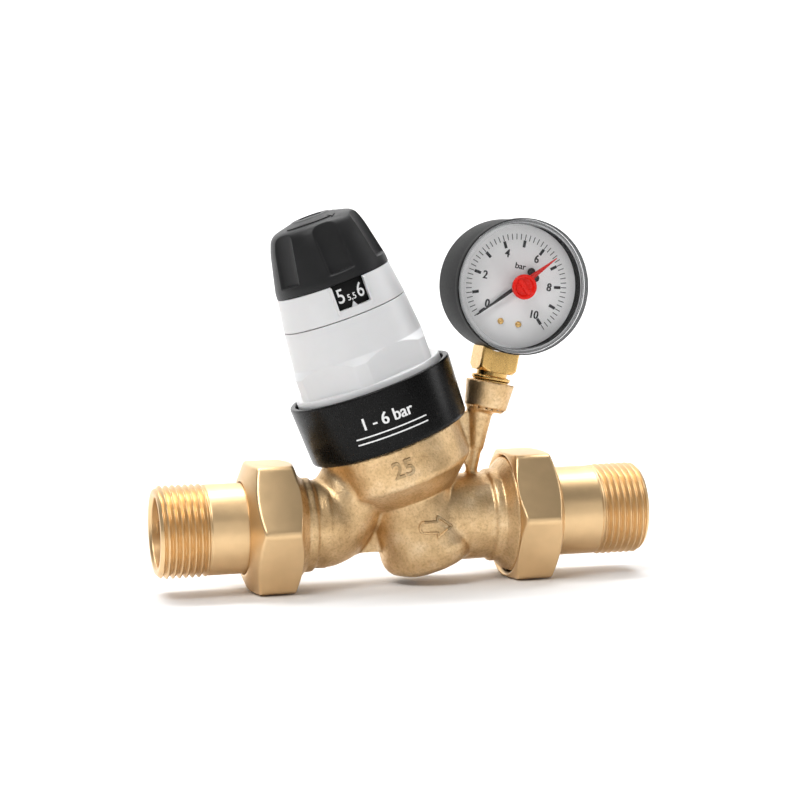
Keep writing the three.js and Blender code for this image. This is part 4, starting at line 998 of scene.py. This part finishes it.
def spring_bonnet():
    chamfer = 2.4
    foot = BODY_TOP + GAP
    crown = HEX_TOP - chamfer
    slope = (CORNER_RADIUS - CONE_RADIUS) / chamfer

    def profile(angle):
        flat = hexagon_radius(angle, HEX_ACROSS_FLATS, 0.4, HEX_TURN - 90)
        reach = min(flat, CORNER_RADIUS)
        upper = crown + (CORNER_RADIUS - reach) / slope if reach >= CONE_RADIUS else HEX_TOP
        return rounded([
            (BONNET_THREAD_RADIUS, BONNET_FOOT), (BONNET_THREAD_RADIUS, foot, 0.1),
            (FLANGE_RADIUS, foot, 0.4), (FLANGE_RADIUS, FLANGE_TOP, 0.7),
            (reach, FLANGE_TOP, 0.25), (reach, upper, 0.3),
            (min(reach, CONE_RADIUS) - 0.001, HEX_TOP + 0.02, 0.3),
            (cone_radius(HEX_TOP + 3), HEX_TOP + 3), (SEAM_RADIUS, SEAM, 0.25),
            (SPIGOT_RADIUS, SEAM), (SPIGOT_RADIUS, SPIGOT_TOP),
            (SCREW_HOLE_RADIUS, SPIGOT_TOP), (SCREW_HOLE_RADIUS, SPIGOT_TOP - 3),
            (SPIGOT_RADIUS - 2.2, SPIGOT_TOP - 3), (SPIGOT_RADIUS - 2.2, SEAM),
            (SPRING_CHAMBER_RADIUS, SEAM - 1.2), (SPRING_CHAMBER_RADIUS, BONNET_FOOT),
        ], steps=3)

    return revolve(profile, 360)


piece("bonnet_shell", spring_bonnet(), CARTRIDGE, "body", "white_plastic", "spring_bonnet",
      crease=28)


def window_collar():
    inner = DRUM_RADIUS + GAP + 0.2
    low = SEAM + GAP
    sill = COLLAR_TOP - WINDOW_HEIGHT
    collar = scratch("window_collar_fine", turned([
        (inner, low), (SEAM_RADIUS - 0.02, low, 0.25), (COLLAR_TOP_RADIUS, COLLAR_TOP, 0.2),
        (inner, COLLAR_TOP),
    ], 240), CARTRIDGE)
    half = WINDOW_WIDTH / 2 + WINDOW_FRAME
    face = -(COLLAR_TOP_RADIUS + 0.75)
    surround_box = box(-half, half, face, -inner + 1.4, sill - WINDOW_FRAME - 0.3, COLLAR_TOP - 0.35)
    surround = bevel(scratch("surround", surround_box, CARTRIDGE), 0.45, 3)
    top, outer = COLLAR_TOP + 3, 30
    ring = turned([(inner, low), (outer, low), (outer, top), (inner, top)], 240)
    carve(surround, scratch("trim", ring, CARTRIDGE), operation="INTERSECT")
    carve(collar, surround, operation="UNION")
    opening = box(-WINDOW_WIDTH / 2, WINDOW_WIDTH / 2, -outer, 0, sill, COLLAR_TOP + 4)
    carve(collar, bevel(scratch("notch", opening, CARTRIDGE), 0.5, 3))
    pointer = moved(prism([(-1.15, 0), (1.15, 0), (0, 2)], 0, 1), spin(90, "X"))
    spot = Matrix.Translation((0, -inner - 0.25, sill - 0.15))
    return carve(collar, scratch("marker", pointer, CARTRIDGE @ spot), operation="UNION")


finished(window_collar(), "body", "white_plastic", "window_collar", crease=30)

# ---- Knob, its screw and the scale drum

KNOB_RIM = COLLAR_TOP + GAP
GRIPS = 6
GRIP_HALF_WIDTH, GRIP_DEPTH, GRIP_LEDGE = 4.95, 2.1, 3.4


def knob_outline():
    """Outside of the knob without its grips, from the rim to the top, as dense (r, h) points."""
    corners = rounded([
        (KNOB_RIM_RADIUS, KNOB_RIM, 0.3), (KNOB_RIM_RADIUS - 0.1, KNOB_RIM + 2, 1),
        (KNOB_SHOULDER_RADIUS + 0.4, SHOULDER - 2, 2),
        (KNOB_SHOULDER_RADIUS - 1.6, SHOULDER + 3.4, 3.2),
        (7.4, KNOB_TOP - 0.4, 2), (6.6, KNOB_TOP, 0.4), (4.4, KNOB_TOP, 0.3),
    ], closed=False, steps=8)
    dense = [corners[0]]
    for before, after in zip(corners, corners[1:]):
        steps = max(1, int(np.hypot(*(after - before)) / 0.3))
        dense += [before + (after - before) * k / steps for k in range(1, steps + 1)]
    return np.array(dense)


def adjustment_knob():
    outside = knob_outline()
    slope = (KNOB_RIM_RADIUS - KNOB_SHOULDER_RADIUS) / (SHOULDER - KNOB_RIM)
    ledge = KNOB_RIM + GRIP_LEDGE
    radii, heights = outside[:, 0], outside[:, 1]
    inside = rounded([
        (4.4, KNOB_TOP - 1.6), (8.2, KNOB_TOP - 5), (KNOB_SHOULDER_RADIUS - 4, SHOULDER - 3),
        (KNOB_RIM_RADIUS - 2.6, KNOB_RIM + 2), (KNOB_RIM_RADIUS - 2.6, KNOB_RIM)], closed=False)

    def profile(angle):
        turn = (angle + pi / 2) % (2 * pi / GRIPS)
        off = min(turn, 2 * pi / GRIPS - turn)
        across = radii * sin(off)
        hollow = np.sqrt(np.clip(1 - (across / GRIP_HALF_WIDTH) ** 2, 0, 1)) * GRIP_DEPTH
        floor = KNOB_RIM_RADIUS - 0.35 - slope * (heights - ledge) - hollow
        over = np.clip(radii - floor, 0, None) * np.clip((GRIP_HALF_WIDTH - across) / 0.6, 0, 1)
        start = np.clip((heights - ledge) / 0.5, 0, 1)
        depth = over * start * start * (3 - 2 * start)
        return np.concatenate([np.column_stack([radii - depth, heights]), inside])

    return revolve(profile, 360)


piece("knob_shell", adjustment_knob(), CARTRIDGE, "knob", "knob_plastic", "adjustment_knob",
      crease=50)


def knob_screw():
    """The slotted cap of the fixing screw."""
    radius, foot, top = 4.1, KNOB_TOP - 4, KNOB_TOP - 0.3
    cap = scratch("knob_cap", turned([
        (0, foot), (radius, foot), (radius, top, 0.5), (0, top)], 96, closed=False), CARTRIDGE)
    slot = scratch("slot", box(-2.9, 2.9, -0.65, 0.65, KNOB_TOP - 1.5, KNOB_TOP + 1), CARTRIDGE)
    return carve(cap, slot)


finished(knob_screw(), "knob", "knob_plastic", "knob_fixing_screw")


def crown_height(radius):
    """Height of the top of the knob at a radius."""
    outline = knob_outline()
    top = outline[np.argsort(outline[:, 0])]
    top = top[top[:, 1] > SHOULDER]
    return np.interp(radius, top[:, 0], top[:, 1])


def turning_marks():
    """Two raised arcs, each with its arrow head, on the crown of the knob."""
    ring = range(30, 111, 5)
    stroke = [polar(12.4, a) for a in ring] + [polar(11.4, a) for a in reversed(ring)]
    head = [polar(13.4, 112), polar(11.9, 124), polar(10.4, 112)]
    shapes = []
    for side in (0, 180):
        for outline in (stroke, head):
            points, faces = prism(outline, -0.3, 0.35)
            points[:, 2] += crown_height(np.hypot(points[:, 0], points[:, 1]))
            shapes.append(moved((points, faces), spin(side)))
    return joined(*shapes)


piece("knob_marks", turning_marks(), CARTRIDGE, "knob", "knob_plastic")


def scale_drum():
    hole, wall, foot = 8.3, DRUM_RADIUS - 1.4, SEAM + 1.2
    return turned([
        (hole, COLLAR_TOP - 2), (wall, COLLAR_TOP - 2), (wall, foot), (DRUM_RADIUS, foot, 0.2),
        (DRUM_RADIUS, COLLAR_TOP, 0.2), (hole, COLLAR_TOP)], 160)


DEGREES_PER_BAR = 22
BAR_AT_REST = 5.46


def on_drum(shape, around, height):
    """Bends a flat shape round the drum: X runs along the circumference, Y up the axis."""
    points = shape[0]
    turn = radians(around) + points[:, 0] / DRUM_RADIUS
    reach = DRUM_RADIUS + points[:, 2]
    bent = np.column_stack([reach * np.sin(turn), -reach * np.cos(turn), points[:, 1] + height])
    return bent, shape[1]


def drum_scale():
    """Numbers from 1 to 6 round the drum, with the half bars small between them."""
    row = COLLAR_TOP - WINDOW_HEIGHT / 2 - 0.1
    shapes = []
    for bar in range(1, 7):
        turn = (bar - BAR_AT_REST) * DEGREES_PER_BAR
        number = text_shape(str(bar), 7.2, DRUM_INK, 0.82, 0.06)
        shapes.append(on_drum(number, turn, row + 0.3))
        if bar < 6:
            half = text_shape(f"{bar},5", 3.1, DRUM_INK, 0.9, 0.03)
            shapes.append(on_drum(half, turn + DEGREES_PER_BAR / 2, row - 1.2))
    return joined(*shapes)


piece("drum_shell", scale_drum(), CARTRIDGE, "knob", "drum_plastic", "scale_drum")
piece("drum_numbers", drum_scale(), CARTRIDGE, "knob", "white_plastic", look=PRINT_WHITE)

# ---- Gauge


def gauge_socket():
    half = SOCKET_FLATS / 2

    def profile(angle):
        off = (degrees(angle) + 45) % 90 - 45
        reach = min(half / cos(radians(off)), half * sqrt(2) - 0.5)
        shoulder = SOCKET_FOOT + (reach - half - 0.6) * 0.7 + 0.3
        return rounded([
            (0, SOCKET_FOOT), (half + 0.6, SOCKET_FOOT, 0.2), (reach, shoulder, 0.4),
            (reach, SOCKET_TOP), (0, SOCKET_TOP)], closed=False)

    square = scratch("socket_fine", revolve(profile, 240, closed=False), GAUGE)
    neck = scratch("neck", turned([
        (0, BOSS_FOOT + 1.4), (5.7, BOSS_FOOT + 1.4), (6.5, BOSS_FOOT + 2.2), (6.5, BOSS_TOP + 0.4),
        (7.1, BOSS_TOP + 0.9, 0.3), (7.1, BOSS_TOP + 1.9, 0.3), (5.6, BOSS_TOP + 2.2),
        (5.6, SOCKET_FOOT + 1), (0, SOCKET_FOOT + 1)], 96, closed=False), GAUGE)
    carve(square, neck, operation="UNION")
    reach = CASE_RADIUS - 0.1
    case_room = turned([
        (0, -CASE_RADIUS), (reach, -CASE_RADIUS), (reach, CASE_RADIUS), (0, CASE_RADIUS),
    ], 160, closed=False)
    return carve(square, scratch("case_room", case_room, DIAL))


finished(gauge_socket(), "body", "bright_brass", "gauge_socket")


def gauge_case():
    outer, inner = CASE_RADIUS - 0.4, CASE_RADIUS - 0.4 - CASE_WALL
    return turned([
        (0, -CASE_BACK), (outer, -CASE_BACK, 2.2), (outer, CASE_FRONT, 0.3),
        (inner, CASE_FRONT, 0.3), (inner, -CASE_BACK + 1.5, 0.8), (0, -CASE_BACK + 1.3),
    ], 192, closed=False, steps=6)


def gauge_lens():
    """The clear lid, clipped over the case, with a hole for the hub of the set hand."""
    hole, seat, inner, pane = 2.3, CASE_FRONT + GAP, LENS_FRONT - 2.1, LENS_FRONT - 0.6
    return turned([
        (hole, inner), (CASE_RADIUS - 4.2, inner, 0.5), (CASE_RADIUS - 1.4, inner, 0.4),
        (CASE_RADIUS - 1.4, seat), (CASE_RADIUS, seat, 0.3), (CASE_RADIUS, LENS_FRONT, 1.1),
        (CASE_RADIUS - 2.2, LENS_FRONT, 0.5), (CASE_RADIUS - 3.1, pane, 0.4), (hole, pane, 0.2),
    ], 192, steps=5)


def patched(thing, choose, *looks):
    """Adds further looks to a piece; choose gives each face's number from its place on the dial."""
    to_dial = DIAL.inverted()
    for look in looks:
        thing.data.materials.append(look)
    for face in thing.data.polygons:
        spot = to_dial @ (face.center / MM)
        face.material_index = choose(hypot(spot.x, spot.y), spot.z)


def case_patch(out, height):
    return 1 if out < CASE_RADIUS - 1.2 and height > DIAL_HEIGHT - 1 else 0


def lens_patch(out, height):
    return 2 if out > CASE_RADIUS - 0.5 else 1 if out > CASE_RADIUS - 2.6 else 0


case = piece("case_shell", gauge_case(), DIAL, "body", "black_plastic", "gauge_case",
             look=CASE_BLACK)
lens = piece("lens", gauge_lens(), DIAL, "body", "window_plastic", "gauge_window")
patched(case, case_patch, BEZEL)
patched(lens, lens_patch, LENS_RIM, CASE_BLACK)


def dial_disc():
    hole, back = 0.9, DIAL_HEIGHT - 0.8
    return turned([
        (hole, back), (DIAL_RADIUS, back), (DIAL_RADIUS, DIAL_HEIGHT, 0.1), (hole, DIAL_HEIGHT),
    ], 160)


piece("dial_disc", dial_disc(), DIAL, "body", "dial_paint", "gauge_dial")

SCALE_START, SCALE_SWEEP, FULL_SCALE = -135, 270, 10
PRINT_HEIGHT = 0.05
ZERO_ASIDE = 5  # degrees, so that the pointer doesn't hide the 0


def on_dial(shape, clockwise, radius=0.0, upright_marks=False):
    """Turns a flat shape clockwise about the dial's centre, after moving it up by the radius."""
    turn = spin(-clockwise)
    spot = turn @ Vector((0, radius, DIAL_HEIGHT))
    return moved(shape, Matrix.Translation(spot) @ (Matrix.Identity(4) if upright_marks else turn))


def tick(width, inner, outer):
    return box(-width / 2, width / 2, inner, outer, 0.01, PRINT_HEIGHT)


def dial_print():
    shapes = []
    for fifth in range(5 * FULL_SCALE + 1):
        angle = SCALE_START + SCALE_SWEEP * fifth / (5 * FULL_SCALE)
        shapes.append(on_dial(tick(0.28, 16.8, 18.9), angle))
        if fifth % 5 == 0:
            shapes.append(on_dial(tick(1.05, 14.2, 16.7), angle))
    for bar in range(0, FULL_SCALE + 1, 2):
        angle = SCALE_START + SCALE_SWEEP * bar / FULL_SCALE
        number = heavier(text_shape(str(bar), 4.1, INK, 0.85, 0.03), 0.12)
        beside = ZERO_ASIDE if bar == 0 else 0
        shapes.append(on_dial(number, angle + beside, 12.4, upright_marks=True))
    unit = heavier(text_shape("bar", 3.1, INK, 1, 0.02), 0.06)
    shapes.append(moved(unit, Matrix.Translation((0.2, 7.4, DIAL_HEIGHT + 0.02))))
    return joined(*shapes)


piece("dial_print", dial_print(), DIAL, "body", "dial_paint", look=PRINT_BLACK)


def dial_screw(name, x, y, slot_angle):
    axes = DIAL @ Matrix.Translation((x, y, 0))
    rest, top = DIAL_HEIGHT + 0.05, DIAL_HEIGHT + 0.85
    head = scratch(name, turned([
        (0, DIAL_HEIGHT - 2), (0.45, DIAL_HEIGHT - 2), (0.45, rest), (1.15, rest, 0.1),
        (1.1, DIAL_HEIGHT + 0.75, 0.35), (0, top)], 40, closed=False), axes)
    slot = box(-1.4, 1.4, -0.17, 0.17, DIAL_HEIGHT + 0.45, DIAL_HEIGHT + 2)
    return carve(head, scratch("slot", slot, axes @ Matrix.Rotation(slot_angle, 4, "Z")))


for side, x, slot_angle in (("left", -3.4, 0.9), ("right", 3.4, 0.3)):
    screw = dial_screw(f"dial_screw_{side}_fine", x, -13.4, slot_angle)
    finished(screw, "body", "bright_brass", "dial_screw_" + side)


def hand_blade(half_widths, tail, shoulder, tip, low, thickness):
    """A blade along +Y, with its half widths at the tail, the shoulder and the tip."""
    side = list(zip(half_widths, (tail, shoulder, tip)))
    outline = side + [(-x, y) for x, y in reversed(side)]
    return prism(outline[::-1], low, low + thickness)


def pressure_pointer():
    low = DIAL_HEIGHT + 1.1
    top = low + 0.4
    blade = hand_blade((0.7, 0.62, 0.12), -3, 6, 18.2, low, 0.4)
    stalk = prism([(0.6, 0), (-0.6, 0), (-0.7, -6.6), (0.7, -6.6)], low, top)
    lobes = [prism(circle(1.45, 24, (side * 1.35, -7.2)), low + 0.001 * side, top + 0.001 * side)
             for side in (-1, 1)]
    hub = turned([(0.9, low), (2, low), (2, low + 0.8, 0.2), (0.9, low + 0.8)], 48)
    hand = joined(blade, stalk, *lobes)
    return joined(moved(hand, spin(-SCALE_START)), hub)


piece("pointer_fine", pressure_pointer(), DIAL, "pointer", "pointer_paint", "pressure_pointer")


def set_hand():
    """The red hand under the lens."""
    low = DIAL_HEIGHT + 3.5
    blade = hand_blade((1.1, 0.95, 0.14), 0, 6, 17.2, low, 0.5)
    radius, foot, top = 2.6, low - 0.02, low + 0.62
    hub = turned([(0, foot), (radius, foot, 0.2), (radius, top, 0.2), (0, top)], 48, closed=False)
    return joined(moved(blade, spin(-SET_HAND_AT)), hub)


def set_hand_knob():
    """The red finger knob in the middle of the lens, dished, with a rib across to turn it by."""
    low = LENS_FRONT - 4.6
    base = LENS_FRONT - 0.3
    knob = scratch("set_hand_knob", turned([
        (0, low), (1.9, low), (1.9, base), (4.5, base, 0.15), (4.5, base + 1.6, 0.5),
        (3.5, base + 1.6, 0.3), (3.1, base + 0.7, 0.3), (0, base + 0.7)], 72, closed=False), DIAL)
    rib = box(-3.3, 3.3, -0.8, 0.8, base + 0.3, base + 1.5)
    rib = bevel(scratch("rib", rib, DIAL @ spin(-SET_HAND_AT)), 0.2, 2)
    return carve(knob, rib, operation="UNION")


piece("set_hand_fine", set_hand(), DIAL, "set_pointer", "red_plastic", "set_hand")
finished(set_hand_knob(), "set_pointer", "red_plastic", "set_hand_hub")

# ---- Stage: camera, lights, floor


def camera():
    data = bpy.data.cameras.new("camera")
    data.lens = CAMERA_LENS
    data.sensor_width = 36
    data.clip_end = 20
    thing = placed("camera", data)
    start, aim = Vector(CAMERA_AT) * MM, Vector(CAMERA_AIM) * MM
    turn = (aim - start).to_track_quat("-Z", "Y").to_matrix().to_4x4()
    thing.matrix_world = Matrix.Translation(start) @ turn @ spin(-CAMERA_ROLL)
    bpy.context.scene.camera = thing


def softbox(name, place, aim, width, height, watts):
    data = bpy.data.lights.new(name, "AREA")
    data.shape = "RECTANGLE"
    data.size = width
    data.size_y = height
    data.energy = watts
    thing = placed(name, data)
    thing.location = place
    thing.rotation_euler = (Vector(aim) - Vector(place)).to_track_quat("-Z", "Y").to_euler()


def floor():
    """Pale paper that lies under the valve and sweeps up behind it, with its sizes in metres."""
    near, bend, radius, top, half = -3.0, 0.45, 0.6, 3.0, 4.0
    profile = [(near, 0.0), (bend, 0.0)]
    for step in range(1, 25):
        angle = radians(90 * step / 24)
        profile.append((bend + radius * sin(angle), radius * (1 - cos(angle))))
    profile.append((bend + radius, top))
    points, faces = [], []
    for y, z in profile:
        points += [(x, y, z - FLOOR_DROP * MM) for x in (-half, half)]
    for i in range(len(profile) - 1):
        faces.append((2 * i, 2 * i + 1, 2 * i + 3, 2 * i + 2))
    mesh = bpy.data.meshes.new("floor")
    mesh.from_pydata(points, [], faces)
    mesh.shade_smooth()
    thing = placed("floor", mesh)
    mesh.materials.append(plastic("floor_paper", (0.86, 0.86, 0.86), 0.9, 2, 0.002, 0.003))


def world():
    surroundings = bpy.data.worlds.new("studio")
    surroundings.use_nodes = True
    surroundings.node_tree.nodes["Background"].inputs["Color"].default_value = (*STUDIO_GREY, 1)
    bpy.context.scene.world = surroundings


camera()
world()
floor()
CENTRE = (0, 0, 0.06)
softbox("key", (-0.45, -0.5, 0.9), CENTRE, 0.5, 0.5, 6.5)
softbox("top", (0.1, 0.15, 1), CENTRE, 0.8, 0.5, 4)
softbox("front", (0.3, -1.2, 0.35), CENTRE, 0.7, 0.5, 1.2)
softbox("side", (0.95, -0.1, 0.4), CENTRE, 0.25, 0.6, 1.6)
softbox("backdrop", (0, 0.45, 1.5), (0, 1.2, 0.2), 2, 0.5, 26)
bpy.context.scene.view_settings.view_transform = "Standard"

# Blender's factory start-up file holds these
for name in ("Cube", "Light"):
    if name in bpy.data.objects:
        bpy.data.objects.remove(bpy.data.objects[name])
